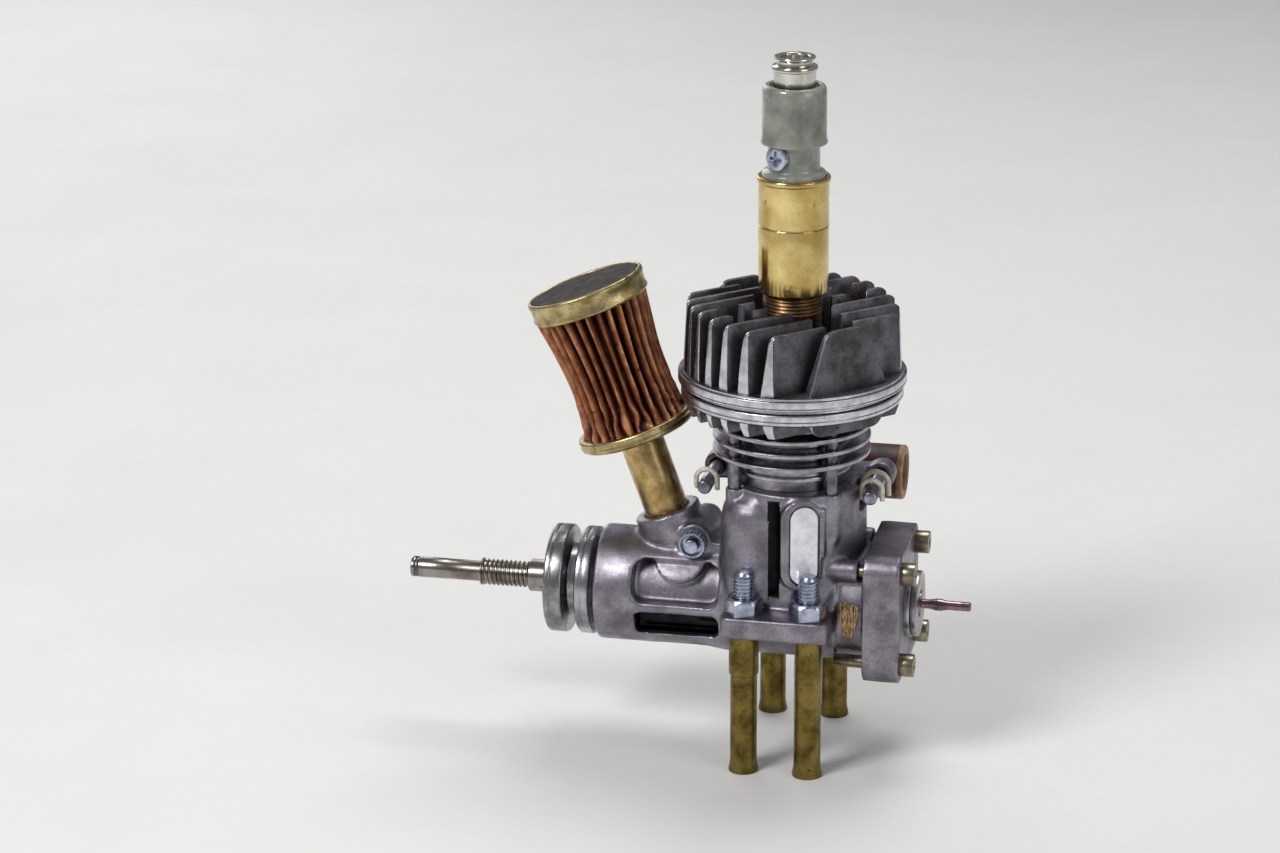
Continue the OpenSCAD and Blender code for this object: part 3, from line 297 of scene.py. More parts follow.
def clear_selection():
    """Leaves edit mode with nothing selected."""
    if bpy.context.object and bpy.context.object.mode != "OBJECT":
        bpy.ops.object.mode_set(mode="OBJECT")
    bpy.ops.object.select_all(action="DESELECT")


def take(*objs):
    """Selects these objects alone; the first is the active one."""
    clear_selection()
    for obj in objs:
        obj.select_set(True)
    bpy.context.view_layer.objects.active = objs[0]


def modify(obj, kind, **settings):
    """Adds a modifier and applies it."""
    take(obj)
    tool = obj.modifiers.new(kind.lower(), kind)
    for key, value in settings.items():
        setattr(tool, key, value)
    bpy.ops.object.modifier_apply(modifier=tool.name)


def settle(obj, where=UPRIGHT):
    """Puts a piece in its place, with the place in its mesh."""
    take(obj)
    obj.matrix_world = where @ obj.matrix_world
    bpy.ops.object.transform_apply(location=True, rotation=True, scale=True)


def fit(obj, name, node, smooth=35, material=None):
    """Names a finished piece, gives it its finish and body, and lets it stand for its node."""
    take(obj)
    bpy.ops.object.shade_smooth_by_angle(angle=math.radians(smooth))
    obj.name = name
    slot = slot_of[node]
    if not obj.data.materials or material:
        obj.data.materials.clear()
        obj.data.materials.append(material or FINISHES[slot])
    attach(obj, body_of[node])
    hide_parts(node)
    return obj


def rounded(outline, size):
    """An outline with each sharp corner turned into a small arc of three points."""
    out = [outline[0]]
    for before, corner, after in zip(outline, outline[1:], outline[2:]):
        a, c, b = Vector(before), Vector(corner), Vector(after)
        near, far = a - c, b - c
        if near.length < 1e-6 or far.length < 1e-6 or near.angle(far) > math.radians(150):
            out.append(corner)
            continue
        start = c + near.normalized() * min(size, near.length * 0.4)
        end = c + far.normalized() * min(size, far.length * 0.4)
        middle = (start + end + c * 2) / 4
        out += [tuple(start), tuple(middle), tuple(end)]
    return out + [outline[-1]]


def turned(outline, steps=72, soft=0.12, where=UPRIGHT):
    """Turns an outline of (radius, height) points in millimetres round the local Z axis."""
    points = rounded(outline, soft) if soft else outline
    clear_selection()
    bpy.ops.mesh.primitive_plane_add(size=MM)
    obj = bpy.context.object
    bpy.ops.object.mode_set(mode="EDIT")
    bpy.ops.mesh.merge(type="CENTER")
    bpy.ops.transform.translate(value=(points[0][0] * MM, 0, points[0][1] * MM))
    for a, b in zip(points, points[1:]):
        step = ((b[0] - a[0]) * MM, 0, (b[1] - a[1]) * MM)
        bpy.ops.mesh.extrude_vertices_move(TRANSFORM_OT_translate={"value": step})
    bpy.ops.mesh.select_all(action="SELECT")
    bpy.ops.mesh.spin(steps=steps, angle=math.tau, center=(0, 0, 0), axis=(0, 0, 1))
    bpy.ops.mesh.select_all(action="SELECT")
    bpy.ops.mesh.remove_doubles(threshold=2e-6)
    bpy.ops.mesh.normals_make_consistent(inside=False)
    bpy.ops.object.mode_set(mode="OBJECT")
    settle(obj, where)
    return obj


def copy_of(node):
    """A merged copy of a CAD node's mesh."""
    obj = bpy.data.objects.new("copy", nodes[node].data.copy())
    bpy.context.scene.collection.objects.link(obj)
    take(obj)
    bpy.ops.object.mode_set(mode="EDIT")
    bpy.ops.mesh.select_all(action="SELECT")
    bpy.ops.mesh.remove_doubles(threshold=2e-6)
    bpy.ops.object.mode_set(mode="OBJECT")
    return obj


def broken_edges(obj, width):
    """Small bevels along a piece's sharp edges; the width is in millimetres."""
    modify(obj, "BEVEL", width=width * MM, segments=2, limit_method="ANGLE",
           angle_limit=math.radians(32), use_clamp_overlap=False)


def dressed(node, edge=0.15):
    """A machined piece: the node's shape with its edges broken."""
    obj = copy_of(node)
    modify(obj, "DECIMATE", decimate_type="DISSOLVE", angle_limit=math.radians(1.0))
    broken_edges(obj, edge)
    return fit(obj, node + "_part", node)


def roughen(obj, size, depth):
    """Pushes the surface in and out along its normals, in lumps of this size; both in millimetres."""
    shifts = [v.normal * (noise.noise(v.co / (size * MM)) * depth * MM) for v in obj.data.vertices]
    for v, shift in zip(obj.data.vertices, shifts):
        v.co += shift


def cast(node, voxel, passes, most, more=(), less=()):
    """A casting: the node's shape with pieces added and cut out, soft corners and a little unevenness."""
    obj = copy_of(node)
    if more:
        obj = joined([obj, *more])
        modify(obj, "REMESH", mode="VOXEL", voxel_size=voxel * MM)
    drilled(obj, *less)
    modify(obj, "REMESH", mode="VOXEL", voxel_size=voxel * MM)
    modify(obj, "SMOOTH", factor=0.5, iterations=passes)
    faces = len(obj.data.polygons) * 2
    if faces > most:
        modify(obj, "DECIMATE", ratio=most / faces)
    roughen(obj, 4, 0.08)
    return obj


def drilled(obj, *cutters, operation="DIFFERENCE"):
    """Cuts closed pieces out of another one, or keeps only what they share."""
    for cutter in cutters:
        modify(obj, "BOOLEAN", operation=operation, object=cutter, solver="EXACT")
        bpy.data.objects.remove(cutter)
    return obj


def block(low, high, top=None):
    """A block between two corners, in millimetres; top gives its upper face's own (x0, y0, x1, y1)."""
    clear_selection()
    bpy.ops.mesh.primitive_cube_add(size=2)
    obj = bpy.context.object
    upper = top or (low[0], low[1], high[0], high[1])
    for v in obj.data.vertices:
        x0, y0, x1, y1 = upper if v.co.z > 0 else (low[0], low[1], high[0], high[1])
        z = high[2] if v.co.z > 0 else low[2]
        v.co = Vector((x1 if v.co.x > 0 else x0, y1 if v.co.y > 0 else y0, z)) * MM
    return obj


def joined(objs):
    """Several pieces made one."""
    take(*objs)
    bpy.ops.object.join()
    return bpy.context.object


def thread(low, high, major, minor, pitch, where=UPRIGHT, steps=28):
    """A screw thread cut flat at both ends, along the local Z axis."""
    tooth = [(minor, 0), (minor, 0.12), (major, 0.44), (major, 0.56), (minor, 0.88), (minor, 1)]
    clear_selection()
    bpy.ops.mesh.primitive_plane_add(size=MM)
    obj = bpy.context.object
    bpy.ops.object.mode_set(mode="EDIT")
    bpy.ops.mesh.merge(type="CENTER")
    bpy.ops.transform.translate(value=(tooth[0][0] * MM, 0, (low - 2 * pitch) * MM))
    for a, b in zip(tooth, tooth[1:]):
        step = ((b[0] - a[0]) * MM, 0, (b[1] - a[1]) * pitch * MM)
        bpy.ops.mesh.extrude_vertices_move(TRANSFORM_OT_translate={"value": step})
    bpy.ops.object.mode_set(mode="OBJECT")
    take(obj)
    bpy.ops.object.transform_apply(location=True, rotation=True, scale=True)
    turns = math.ceil((high - low) / pitch) + 4
    modify(obj, "SCREW", axis="Z", screw_offset=pitch * MM, iterations=turns, steps=steps,
           render_steps=steps, use_merge_vertices=True, merge_threshold=2e-6)
    bpy.ops.object.mode_set(mode="EDIT")
    for height, outer in ((low, False), (high, True)):
        bpy.ops.mesh.select_all(action="SELECT")
        bpy.ops.mesh.bisect(plane_co=(0, 0, height * MM), plane_no=(0, 0, 1), use_fill=True,
                            clear_inner=not outer, clear_outer=outer)
    bpy.ops.mesh.select_all(action="SELECT")
    bpy.ops.mesh.remove_doubles(threshold=2e-6)
    bpy.ops.mesh.normals_make_consistent(inside=False)
    bpy.ops.object.mode_set(mode="OBJECT")
    settle(obj, where)
    return obj


def paint_faces(obj, slot, material, chosen):
    """Gives a piece its slot's finish, and material to faces with chosen(centre in millimetres, normal)."""
    obj.data.materials.clear()
    obj.data.materials.append(FINISHES[slot])
    obj.data.materials.append(material)
    for face in obj.data.polygons:
        face.material_index = 1 if chosen(face.center / MM, face.normal) else 0


# ---------------------------------------------------------------- castings

BOSS = Matrix.Rotation(math.radians(20), 4, "Z")
PLATE_LOW, PLATE_HIGH = 12, 24.6
GROOVE_X, GROOVE_HALF, GROOVE_FLOOR, GROOVE_TOP = -6.6, 1.15, -12.4, 27.3


def stadium(middle, half, front, back):
    """An upright stadium on the plate boss, as a block and two discs; middle and half are its width."""
    parts = [block((middle - half, front, PLATE_LOW), (middle + half, back, PLATE_HIGH))]
    for z in (PLATE_LOW, PLATE_HIGH):
        parts.append(turned([(0, front), (half, front), (half, back), (0, back)], 48, 0,
                            Matrix.Translation((middle * MM, 0, z * MM)) @ ACROSS))
    for part in parts:
        settle(part, BOSS)
    return parts


# A round tongue hangs from the intake boss into the upper pocket, inside the housing's outline
tongue = turned([(0, -12), (6.6, -12), (6.6, -6), (0, -6)], 48, 0,
                Matrix.Translation((-25 * MM, 0, 11.4 * MM)) @ ACROSS)
drilled(tongue, turned([(0, -35.6), (12.7, -35.6), (12.7, -15.2), (0, -15.2)], 96, 0, ALONG_SHAFT),
        operation="INTERSECT")
# The ledge between the two pockets slopes up to the back
ledge = block((-35.6, -13.45, -2.3), (-15.2, -9.0, -0.8))
for v in ledge.data.vertices:
    if v.co.z > -1 * MM and v.co.y > -10 * MM:
        v.co.z = 0.6 * MM
bulge = turned([(0, 28.7), (4.2, 28.5), (7.0, 27.2), (8.2, 25.0), (8.6, 22.5), (8.6, 3), (0, 3)],
               72, 0, Matrix.Translation((-6.3 * MM, -8.7 * MM, 0)))
boss = stadium(-0.7, 4.8, -17.7, -14)
side_rib = block((-0.55, -18.1, 15.3), (0.55, -14, 27.2))
settle(side_rib, Matrix.Rotation(math.radians(34.8), 4, "Z"))
groove = turned([(0, -20), (GROOVE_HALF, -20), (GROOVE_HALF, GROOVE_FLOOR), (0, GROOVE_FLOOR)], 32, 0,
                Matrix.Translation((0, 0, GROOVE_TOP * MM)) @ ACROSS)
slot_cut = block((-GROOVE_HALF, -20, 5.2), (GROOVE_HALF, GROOVE_FLOOR, GROOVE_TOP))
for piece in (groove, slot_cut):
    settle(piece, BOSS @ Matrix.Translation((GROOVE_X * MM, 0, 0)))
window = block((-35.2, -15, -8.2), (-15.8, -7.7, -2.6))
crankcase = cast("crankcase", 0.42, 4, 190000, (tongue, ledge, bulge, *boss, side_rib), (window,))
drilled(crankcase, groove, slot_cut, *stadium(0, 3.65, -19, -16.3))


def in_shaded_recess(point, normal):
    """The groove beside the boss and the housing's lower window, which get painted shade."""
    if -35.6 < point.x < -15.4 and -8.6 < point.z < -2.2:
        return point.y < 0 and math.hypot(point.y, point.z) < 12.1
    local = BOSS.inverted() @ point
    beside = abs(local.x - GROOVE_X) < GROOVE_HALF + 0.15 and -16.4 < local.y < -12.2
    return beside and 5 < point.z < 28.6 and abs(normal.z) < 0.9


# Painted shade: the groove and the lower window get a near-black finish that stands in for their shadow
paint_faces(crankcase, "cast_aluminium", RECESS_SHADE, in_shaded_recess)
fit(crankcase, "crankcase_casting", "crankcase", 60)
cover = cast("rear_cover", 0.4, 4, 60000)
fit(cover, "rear_cover_casting", "rear_cover", 60)
elbow = cast("exhaust_manifold", 0.5, 4, 30000)
fit(elbow, "exhaust_elbow_casting", "exhaust_manifold", 60)


FIN_TURN = Matrix.Rotation(math.radians(45), 4, "Z")
POCKET_R = 4.0
POCKETS = ((16, 0), (-16, 0), (0, 16), (0.7, -16))
# The fins' foot and highest top, their reach, and the foot and top of the lower ring's short fins
FIN_FOOT, FIN_TOP, FIN_REACH = 56.2, 73.3, 24.7
RING_FOOT, RING_TOP = 46.5, 50.4
# Each fin's offset from the plug's axis, and how far its top lies below the highest one
OFFSETS = [-21.15, -16.45, -11.75, -7.05, -2.35, 2.4, 7.2, 12.2, 17.0, 21.15]
DROPS = [0.3, 0.2, 0.1, 0.1, 0.3, 0.7, 1.2, 1.8, 2.4, 2.3]


def fin(offset, low, high, low_half, high_half, low_t, high_t):
    """A straight fin with a drafted section, before it is turned to the fins' direction."""
    return block((-low_half, -offset - low_t / 2, low), (low_half, -offset + low_t / 2, high),
                 (-high_half, -offset - high_t / 2, high_half, -offset + high_t / 2))


def round_ends(obj, radius, top):
    """Rounds the two corners of a fin that lie at the height top, in millimetres."""
    take(obj)
    bpy.ops.object.mode_set(mode="EDIT")
    bpy.ops.mesh.select_mode(type="EDGE")
    bpy.ops.mesh.select_all(action="DESELECT")
    bpy.ops.object.mode_set(mode="OBJECT")
    for edge in obj.data.edges:
        ends = [obj.data.vertices[i].co / MM for i in edge.vertices]
        edge.select = all(abs(e.z - top) < 0.01 for e in ends) and abs(ends[0].x - ends[1].x) < 0.01
    bpy.ops.object.mode_set(mode="EDIT")
    bpy.ops.mesh.bevel(offset=radius * MM, segments=6)
    bpy.ops.mesh.select_mode(type="VERT")
    bpy.ops.object.mode_set(mode="OBJECT")
    return obj


def well(radius, low, x=0.0, y=0.0):
    """An upright cutter for a round pocket that is open above."""
    return turned([(0, low), (radius, low), (radius, 80), (0, 80)], 64, 0,
                  Matrix.Translation((x * MM, y * MM, 0)))


def on_rim(point, normal):
    """The turned rims of the flanges."""
    reach = math.hypot(point.x, point.y)
    return reach > 19.5 and (point.x * normal.x + point.y * normal.y) / reach > 0.7


def on_fin_end(point, normal):
    """Fin ends and the outer walls of the bolt pockets, which a cutter has finished."""
    if math.hypot(point.x, point.y) > 19.3:
        return abs(normal.x + normal.y) > 0.75
    for spot in POCKETS:
        centre = FIN_TURN @ Vector((*spot, 0))
        reach = math.hypot(point.x - centre.x, point.y - centre.y)
        if abs(reach - POCKET_R) < 0.2 and abs(normal.z) < 0.5:
            return point.x * normal.x + point.y * normal.y < 0
    return False


head_fins = []
for offset, drop in list(zip(OFFSETS, DROPS))[1:-1]:
    half = math.sqrt(FIN_REACH ** 2 - offset ** 2)
    top = FIN_TOP - drop
    head_fins.append(round_ends(fin(offset, FIN_FOOT, top, half + 2, half, 2.55, 1.15), 2.0, top))
head_fins = joined(head_fins)
drilled(head_fins, turned([(0, 56), (25.35, 56), (25.3, 60), (24.55, 73.5), (0, 73.5)], 96, 0),
        operation="INTERSECT")
ends = [round_ends(fin(offset, FIN_FOOT, FIN_TOP - drop, 10.8, 5.6, 2.55, 1.3), 2.2, FIN_TOP - drop)
        for offset, drop in ((OFFSETS[0], DROPS[0]), (OFFSETS[-1], DROPS[-1]))]
head_fins = joined([head_fins, *ends])
front_slot = block((-3.4, -14, 61), (4.8, -8, 80))
drilled(head_fins, well(9.4, 62.7), front_slot, *[well(POCKET_R, 56, *spot) for spot in POCKETS])
# A small eye in the stub of a fin between a pocket and the plug
eye = turned([(0, -1.2), (0.36, -1.2), (0.36, 1.2), (0, 1.2)], 20, 0,
             Matrix.Translation((-12.8 * MM, -2.35 * MM, 70.4 * MM)) @ ALONG_SHAFT)
drilled(head_fins, eye)
settle(head_fins, FIN_TURN)
broken_edges(head_fins, 0.2)
paint_faces(head_fins, "head_casting", MACHINED, on_fin_end)
fit(head_fins, "cylinder_head_fins", "cylinder_head")
head_flange = turned([(12.1, 46.9), (13.6, 46.9), (13.6, 53.75), (26.3, 53.75), (26.6, 54.0), (26.6, 54.3),
                      (26.4, 54.36), (26.4, 54.5), (26.6, 54.56), (26.6, 56.0), (26.5, 56.1),
                      (26.05, 56.15), (25.95, 56.25), (25.95, 56.7), (8.7, 56.7), (8.7, 62.7),
                      (7.1, 62.7), (7.1, 50.2), (12.1, 50.2), (12.1, 46.9)], 128, 0.05)
paint_faces(head_flange, "head_casting", MACHINED, on_rim)
fit(head_flange, "cylinder_head_flange", "cylinder_head")

ring_fins = joined([fin(offset, RING_FOOT, RING_TOP, 27, 27, 1.25, 2.0) for offset in OFFSETS[1:-1]])
drilled(ring_fins, turned([(0, 46.4), (24.3, 46.4), (25.0, 48.6), (25.2, 50.5), (0, 50.5)], 96, 0),
        operation="INTERSECT")
ends = [round_ends(fin(offset, RING_FOOT, RING_TOP, 9.9, 9.9, 1.6, 2.2), 3.2, RING_FOOT)
        for offset in (OFFSETS[0], OFFSETS[-1])]
ring_fins = joined([ring_fins, *ends])
drilled(ring_fins, turned([(0, 45), (13.75, 45), (13.75, 52), (0, 52)], 64, 0))
settle(ring_fins, FIN_TURN)
broken_edges(ring_fins, 0.15)
paint_faces(ring_fins, "head_casting", MACHINED, on_fin_end)
fit(ring_fins, "lower_ring_fins", "lower_ring")
ring_rim = turned([(13.75, 49.9), (25.3, 49.9), (25.8, 50.3), (25.9, 50.5), (25.9, 51.0), (25.7, 51.06),
                   (25.7, 51.2), (25.9, 51.26), (25.9, 52.5), (25.6, 52.8), (25.0, 52.85), (25.0, 53.7),
                   (13.75, 53.7), (13.75, 49.9)], 128, 0.05)
paint_faces(ring_rim, "head_casting", MACHINED, on_rim)
fit(ring_rim, "lower_ring_rim", "lower_ring")
dressed("cylinder_jacket", 0.22)

# ---------------------------------------------------------------- plug

sleeve = turned([(3.4, 74.95), (7.75, 74.95), (8.15, 75.35), (8.15, 90.7), (8.02, 90.8), (8.02, 90.95),
                 (8.15, 91.05), (8.15, 101.0), (8.5, 101.25), (8.5, 102.1), (8.3, 102.35), (7.6, 102.35),
                 (7.5, 101.35), (3.4, 101.35), (3.4, 74.95)], 96)
fit(sleeve, "brass_sleeve_tube", "brass_sleeve")

threads = [(7.0 - 0.35 * (i % 2), 70.5 + i * 0.42) for i in range(10)]
collar = turned([(3.4, 51.2), (6.8, 51.2), (6.8, 70.2)] + threads
                + [(7.0, 74.95), (3.4, 74.95), (3.4, 51.2)],
                72, 0.06)
fit(collar, "plug_collar_thread", "plug_collar")

drum = turned([(1.6, 101.4), (7.3, 101.4), (7.4, 101.7), (7.4, 103.2), (6.9, 103.6), (6.15, 103.8),
               (6.0, 104.4), (6.0, 109.3), (6.2, 109.85), (7.7, 110.0), (7.7, 110.5), (7.42, 111.4),
               (7.4, 121.6), (7.3, 122.7), (6.9, 123.4), (6.3, 123.55), (6.1, 123.4), (5.85, 123.5),
               (5.7, 123.3), (5.7, 122.35), (1.6, 122.35), (1.6, 101.4)], 96, 0.25)
clear_selection()
bpy.ops.mesh.primitive_cylinder_add(vertices=40, radius=2.85 * MM, depth=6 * MM)
drill = bpy.context.object
settle(drill, Matrix.Rotation(math.radians(-28), 4, "Z")
       @ Matrix.Translation((0, -7 * MM, 107.35 * MM)) @ ACROSS)
drilled(drum, drill)
fit(drum, "insulator_moulding", "insulator", 40)
dressed("clamp_screw", 0.1)

knob = turned([(0, 122.35), (4.75, 122.35), (4.8, 122.6), (4.8, 126.8), (5.25, 127.0), (5.3, 127.5),
               (5.2, 127.9), (4.1, 128.1), (4.05, 129.2), (4.6, 129.5), (4.8, 129.75), (4.7, 130.05),
               (3.5, 130.1), (3.2, 129.8), (3.2, 124.4), (0, 124.2)], 72, 0.1)
fit(knob, "nickel_terminal", "terminal")

# ---------------------------------------------------------------- legs, studs and nuts

for side_x, side_y, node in ((-1, -1, "leg_front_left"), (1, -1, "leg_front_right"),
                             (-1, 1, "leg_rear_left"), (1, 1, "leg_rear_right")):
    upper = 3.5 if node == "leg_front_left" else 3.18
    outline = [(2.6, -37.75), (3.5, -37.75), (3.55, -37.3), (3.3, -36.2), (3.15, -35), (3.15, -13.4),
               (3.15, -13.2), (upper, -13.0), (upper, -5.2), (3.3, -4.2), (3.35, -3.35), (2.6, -3.35),
               (2.6, -37.75)]
    leg = turned(outline, 56, 0.12, Matrix.Translation((side_x * STUD_X * MM, side_y * STUD_Y * MM, 0)))
    fit(leg, node + "_tube", node)

studs = []
for x in (-STUD_X, STUD_X):
    for y in (-STUD_Y, STUD_Y):
        spot = Matrix.Translation((x * MM, y * MM, 0))
        studs.append(thread(1.5, 11.4, 2.5, 2.0, 0.9, spot))
        studs.append(turned([(0, -29.75), (2.4, -29.75), (2.4, 1.9), (2.05, 1.9), (2.05, 11.3),
                             (1.95, 11.5), (1.6, 12.15), (0, 12.15)], 32, 0.1, spot))
fit(joined(studs), "lug_stud_threads", "lug_studs", 40)
dressed("lug_nuts", 0.14)

# ---------------------------------------------------------------- intake and filter

tube = turned([(4.2, 15.2), (5.2, 15.2), (5.2, 42.8), (4.2, 42.8), (4.2, 15.2)], 72, 0.1, INTAKE)
fit(tube, "intake_tube_brass", "intake_tube")
low_cap = turned([(5.25, 40.2), (12.6, 40.2), (13.4, 40.3), (14.05, 40.75), (14.2, 41.3), (13.95, 41.9),
                  (14.1, 42.4), (14.2, 42.8), (13.9, 43.2), (13.2, 43.3), (5.25, 43.2), (5.25, 40.2)],
                 96, 0.15, INTAKE)
fit(low_cap, "filter_base_pressing", "filter_base")
top_cap = turned([(0, 73.2), (12.8, 73.2), (13.7, 73.0), (14.1, 73.4), (14.05, 73.9), (13.85, 74.4),
                  (13.95, 76.6), (14.2, 77.2), (14.15, 77.9), (13.8, 78.3), (13.3, 78.2), (13.1, 77.5),
                  (0, 77.5)],
                 96, 0.2, INTAKE)
fit(top_cap, "filter_cap_pressing", "filter_cap")


def pleats():
    """The pleated gauze: a pinched tube with sharp folds, which are crushed near the foot."""
    folds, samples, rows = 30, 8, 60
    clear_selection()
    bpy.ops.mesh.primitive_grid_add(x_subdivisions=folds * samples, y_subdivisions=rows, size=1)
    obj = bpy.context.object
    fold_shade = obj.data.attributes.new("fold_shade", "FLOAT", "POINT")
    for v in obj.data.vertices:
        turn, f = v.co.x + 0.5, v.co.y + 0.5
        a = turn * math.tau
        spin = Vector((math.cos(a), math.sin(a), 0))
        crush = max(0.0, 1 - f / 0.3)
        wander = noise.noise(spin * 4 + Vector((0, 0, f * 1.2)))
        kink = noise.noise(spin * 6 + Vector((0, 0, f * 6)))
        phase = a * folds + wander * 1.3 + kink * 4.2 * crush
        fold = math.asin(0.985 * math.sin(phase)) / 1.397
        depth = 1.45 * (1 - 0.35 * crush) * (0.85 + 0.35 * noise.noise(spin * 5 + Vector((3, 0, f))))
        waist = 12.15 - 1.75 * math.sin(math.pi * f ** 0.8) + 0.3 * f
        r = waist + fold * depth + crush * 0.7 * noise.noise(spin * 8 + Vector((0, 0, f * 12)))
        # Fold height, which sets the painted shade that darkens the valleys
        fold_shade.data[v.index].value = 0.5 + 0.5 * fold
        r = min(r, 13.9)
        v.co = Vector((r * math.cos(a), r * math.sin(a), 43.2 + f * 30)) * MM
    take(obj)
    bpy.ops.object.mode_set(mode="EDIT")
    bpy.ops.mesh.select_all(action="SELECT")
    bpy.ops.mesh.remove_doubles(threshold=5e-6)
    bpy.ops.mesh.normals_make_consistent(inside=False)
    bpy.ops.object.mode_set(mode="OBJECT")
    modify(obj, "SOLIDIFY", thickness=0.22 * MM, offset=-1)
    settle(obj, INTAKE)
    return obj


fit(pleats(), "pleated_gauze", "filter_element", 50)

pad = turned([(0, 77.5)] + [(r, 78.05) for r in (13.0, 11.5, 10, 8.5, 7, 5.5, 4, 2.5, 1.2)] + [(0, 78.05)],
             90, 0, INTAKE)
for v in pad.data.vertices:
    v.co += Vector((0.34, 0, 0.94)) * noise.noise(v.co * 900) * 0.16 * MM
fit(pad, "felt_pad", "filter_pad", 60)

# How far the teeth of the washer and the nut reach inwards
TOOTH = 0.93
washer = turned([(1.67, -8.8), (2.3, -8.8), (2.8, -8.7), (3.1, -8.5), (3.1, -8.0), (1.67, -8.0),
                 (1.67, -8.8)],
                48, 0.06)
for v in washer.data.vertices:
    angle = math.degrees(math.atan2(v.co.y, v.co.x))
    if math.hypot(v.co.x, v.co.y) > 2.95 * MM and round(angle / 7.5) % 2:
        v.co.x *= TOOTH
        v.co.y *= TOOTH
settle(washer, PINCH)
fit(washer, "serrated_washer", "pinch_washer", 25)
nut_ring = turned([(2.5, -10.9), (2.75, -11.2), (3.15, -11.1), (3.3, -10.7), (3.3, -8.8), (1.67, -8.8),
                   (1.67, -9.1), (2.5, -9.1), (2.5, -10.9)], 72, 0.06)
for v in nut_ring.data.vertices:
    angle = math.degrees(math.atan2(v.co.y, v.co.x))
    if math.hypot(v.co.x, v.co.y) > 2.7 * MM and round(angle / 5) % 3 == 0:
        v.co.x *= TOOTH
        v.co.y *= TOOTH
settle(nut_ring, PINCH)
fit(nut_ring, "serrated_nut", "pinch_nut", 25)
dressed("pinch_bolt", 0.12)

# ---------------------------------------------------------------- shaft and prop driver

pilot = turned([(0, -93.1), (2.3, -93.1), (2.5, -92.9), (2.5, -92.1), (2.12, -92.1), (2.12, -91.2),
                (2.5, -91.2), (2.5, -84.2), (2.46, -84.1), (2.46, -75.7), (3.3, -75.6), (3.32, -75.2),
                (2.75, -75.1), (2.7, -63.6), (3.9, -63.4), (3.9, -57.8), (5.0, -57.8), (5.0, -38.3),
                (5.5, -38.3), (5.5, -12.2), (0, -12.2)], 64, 0.12, ALONG_SHAFT)
fit(pilot, "shaft_front", "crankshaft")
screw = thread(-75.15, -63.55, 3.17, 2.65, 1.1, ALONG_SHAFT, 36)
fit(screw, "shaft_thread", "crankshaft")
web = copy_of("crankshaft")
take(web)
bpy.ops.object.mode_set(mode="EDIT")
bpy.ops.mesh.select_all(action="SELECT")
bpy.ops.mesh.bisect(plane_co=(-12.25 * MM, 0, 0), plane_no=(1, 0, 0), use_fill=True, clear_inner=True)
bpy.ops.object.mode_set(mode="OBJECT")
broken_edges(web, 0.2)
fit(web, "crank_web", "crankshaft")

driver = turned([(6.1, -57.6), (8.6, -57.6), (8.8, -57.45), (9.6, -57.45), (9.8, -57.6), (12.6, -57.6),
                 (13, -57.2), (13, -56.2), (12.85, -56.1), (12.85, -55.9), (13, -55.8), (13, -53.6),
                 (12.7, -53.2), (11.2, -53.2), (11.0, -53.05), (9.3, -53.0), (8.5, -52.6), (8.5, -50.5),
                 (7.2, -50.4), (6.1, -50.6), (6.1, -57.6)], 96, 0.12, ALONG_SHAFT)
fit(driver, "prop_driver_disc", "prop_driver")
ring = turned([(10.55, -50.1), (12.5, -50.1), (12.9, -49.7), (12.9, -48.6), (12.75, -48.5), (12.75, -48.3),
               (12.9, -48.2), (12.9, -46.8), (12.5, -46.5), (10.55, -46.5), (10.55, -50.1)],
              96, 0.1, ALONG_SHAFT)
fit(ring, "nose_collar_ring", "nose_collar")
dressed("driver_cone", 0.1)
dressed("shaft_circlip", 0.08)

# ---------------------------------------------------------------- rear end

for node, edge in (("cover_screws", 0.15), ("shaft_retainer", 0.12), ("name_plate", 0.12)):
    dressed(node, edge)
starter = turned([(0, 6.2), (2.95, 6.2), (2.95, 31.3), (1.1, 31.4), (1.1, 33.2), (1.45, 34.9),
                  (1.42, 36), (1.1, 37.4), (1.1, 42.7), (0.85, 43), (0, 43)], 40, 0.08, ALONG_SHAFT)
fit(starter, "rear_shaft", "starter_shaft")

# Loose fibres packed between the crankcase and the cover
STRANDS = 80
random.seed(7)
strands = []
for i in range(STRANDS):
    clear_selection()
    start = Vector((16.3 + random.uniform(-1.1, 1.1), -15.0 + random.uniform(-0.6, 0.6),
                    -4.2 + random.uniform(0, 3.6)))
    bpy.ops.mesh.primitive_circle_add(vertices=5, radius=random.uniform(0.14, 0.28) * MM, fill_type="NGON",
                                      location=start * MM)
    strand = bpy.context.object
    bpy.ops.object.mode_set(mode="EDIT")
    drift = Vector((random.uniform(-0.15, 0.15), random.uniform(-0.08, 0.08), 0))
    for k in range(8):
        step = drift + Vector((random.uniform(-0.25, 0.25), random.uniform(-0.14, 0.14),
                               random.uniform(0.45, 0.9)))
        bpy.ops.mesh.extrude_region_move(TRANSFORM_OT_translate={"value": step * MM})
    bpy.ops.mesh.select_all(action="SELECT")
    bpy.ops.mesh.normals_make_consistent(inside=False)
    bpy.ops.object.mode_set(mode="OBJECT")
    settle(strand)
    strands.append(strand)
fit(joined(strands), "fibre_strands", "fibre_tuft", 80)

# ---------------------------------------------------------------- exhaust side

pins = []
for x in (-PIN_X, PIN_X):
    pins.append(turned([(0, -7), (1.2, -7), (1.55, -6.8), (1.7, -6.4), (1.7, 15.7), (1.5, 16), (0, 16)],
                       40, 0.1, Matrix.Translation((x * MM, 0, PIN_Z * MM)) @ ACROSS))
fit(joined(pins), "exhaust_pin_rods", "exhaust_pins")


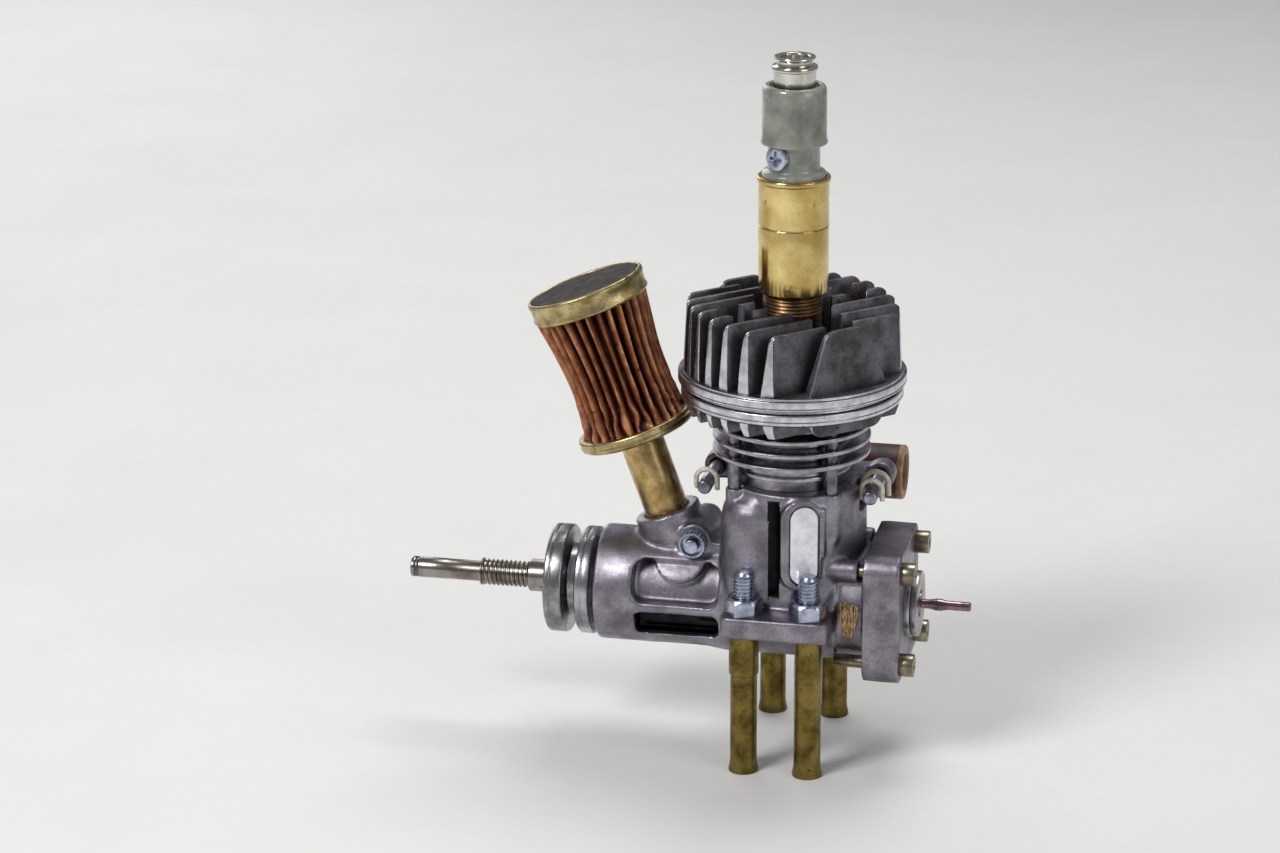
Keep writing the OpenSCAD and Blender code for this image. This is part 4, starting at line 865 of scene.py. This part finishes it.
def hook(x, y, z, radius, wire, tails):
    """A half ring of coated wire over a pin, with two hanging tails of their own lengths."""
    clear_selection()
    bpy.ops.mesh.primitive_circle_add(vertices=14, radius=wire * MM, fill_type="NGON",
                                      location=(radius * MM, 0, 0))
    obj = bpy.context.object
    bpy.ops.object.mode_set(mode="EDIT")
    bpy.ops.mesh.select_all(action="SELECT")
    bpy.ops.mesh.extrude_region_move(TRANSFORM_OT_translate={"value": (0, 0, tails[0] * MM)})
    bpy.ops.mesh.spin(steps=20, angle=math.pi, center=(0, 0, tails[0] * MM), axis=(0, 1, 0))
    bpy.ops.mesh.extrude_region_move(TRANSFORM_OT_translate={"value": (0, 0, -tails[1] * 0.6 * MM)})
    bpy.ops.mesh.extrude_region_move(TRANSFORM_OT_translate={"value": (0, 0, -tails[1] * 0.4 * MM)})
    bpy.ops.transform.resize(value=(0.35, 0.35, 1))
    bpy.ops.mesh.select_all(action="SELECT")
    bpy.ops.mesh.remove_doubles(threshold=1e-6)
    bpy.ops.mesh.normals_make_consistent(inside=False)
    bpy.ops.object.mode_set(mode="OBJECT")
    settle(obj, Matrix.Translation((x * MM, y * MM, (z - tails[0]) * MM)))
    roughen(obj, 0.9, 0.08)
    return obj


ARCH_Z = 28.6
wires = [hook(-PIN_X, -3.5, ARCH_Z, 2.5, 0.6, (2.4, 2.4)),
         hook(PIN_X, -3.5, ARCH_Z, 2.5, 0.6, (2.4, 2.4)),
         hook(19.8, 1.2, ARCH_Z, 3.05, 0.62, (2.6, 4.4))]
fit(joined(wires), "coated_wire_hooks", "exhaust_hooks", 60)

coupler_place = Matrix.Translation((0, 27 * MM, 23 * MM)) @ ALONG_SHAFT
sock = turned([(5.05, 12), (6.3, 12), (6.6, 12.3), (6.6, 21.4), (6.45, 21.6), (4.7, 21.6), (4.6, 21.2),
               (4.6, 19.0), (5.05, 19.0), (5.05, 12)], 64, 0.2, coupler_place)
fit(sock, "coupler_sock", "exhaust_coupler")
rim = turned([(4.6, 21.4), (6.4, 21.4), (6.6, 21.7), (6.6, 22.6), (6.3, 23), (4.9, 23), (4.6, 22.7),
              (4.6, 21.4)],
             64, 0.15, coupler_place)
fit(rim, "coupler_rim", "exhaust_coupler", material=TAN_RIM)

# ---------------------------------------------------------------- floor and world

clear_selection()
bpy.ops.mesh.primitive_plane_add(size=9, location=(0, 0, FLOOR_Z * MM))
floor = bpy.context.object
floor.name = "studio_floor"
floor.data.materials.append(finish("matt_board", "#e6e5e3", "#e3e2df", (0.7, 0.8), 60, (3, 0.01), 0.01,
                                   metallic=0.0))

world = bpy.data.worlds.new("studio")
bpy.context.scene.world = world
world.use_nodes = True
world.node_tree.nodes["Background"].inputs["Color"].default_value = hexed("#dfe2e8")
world.node_tree.nodes["Background"].inputs["Strength"].default_value = 0.3
bpy.context.scene.view_settings.view_transform = "Standard"

clear_selection()
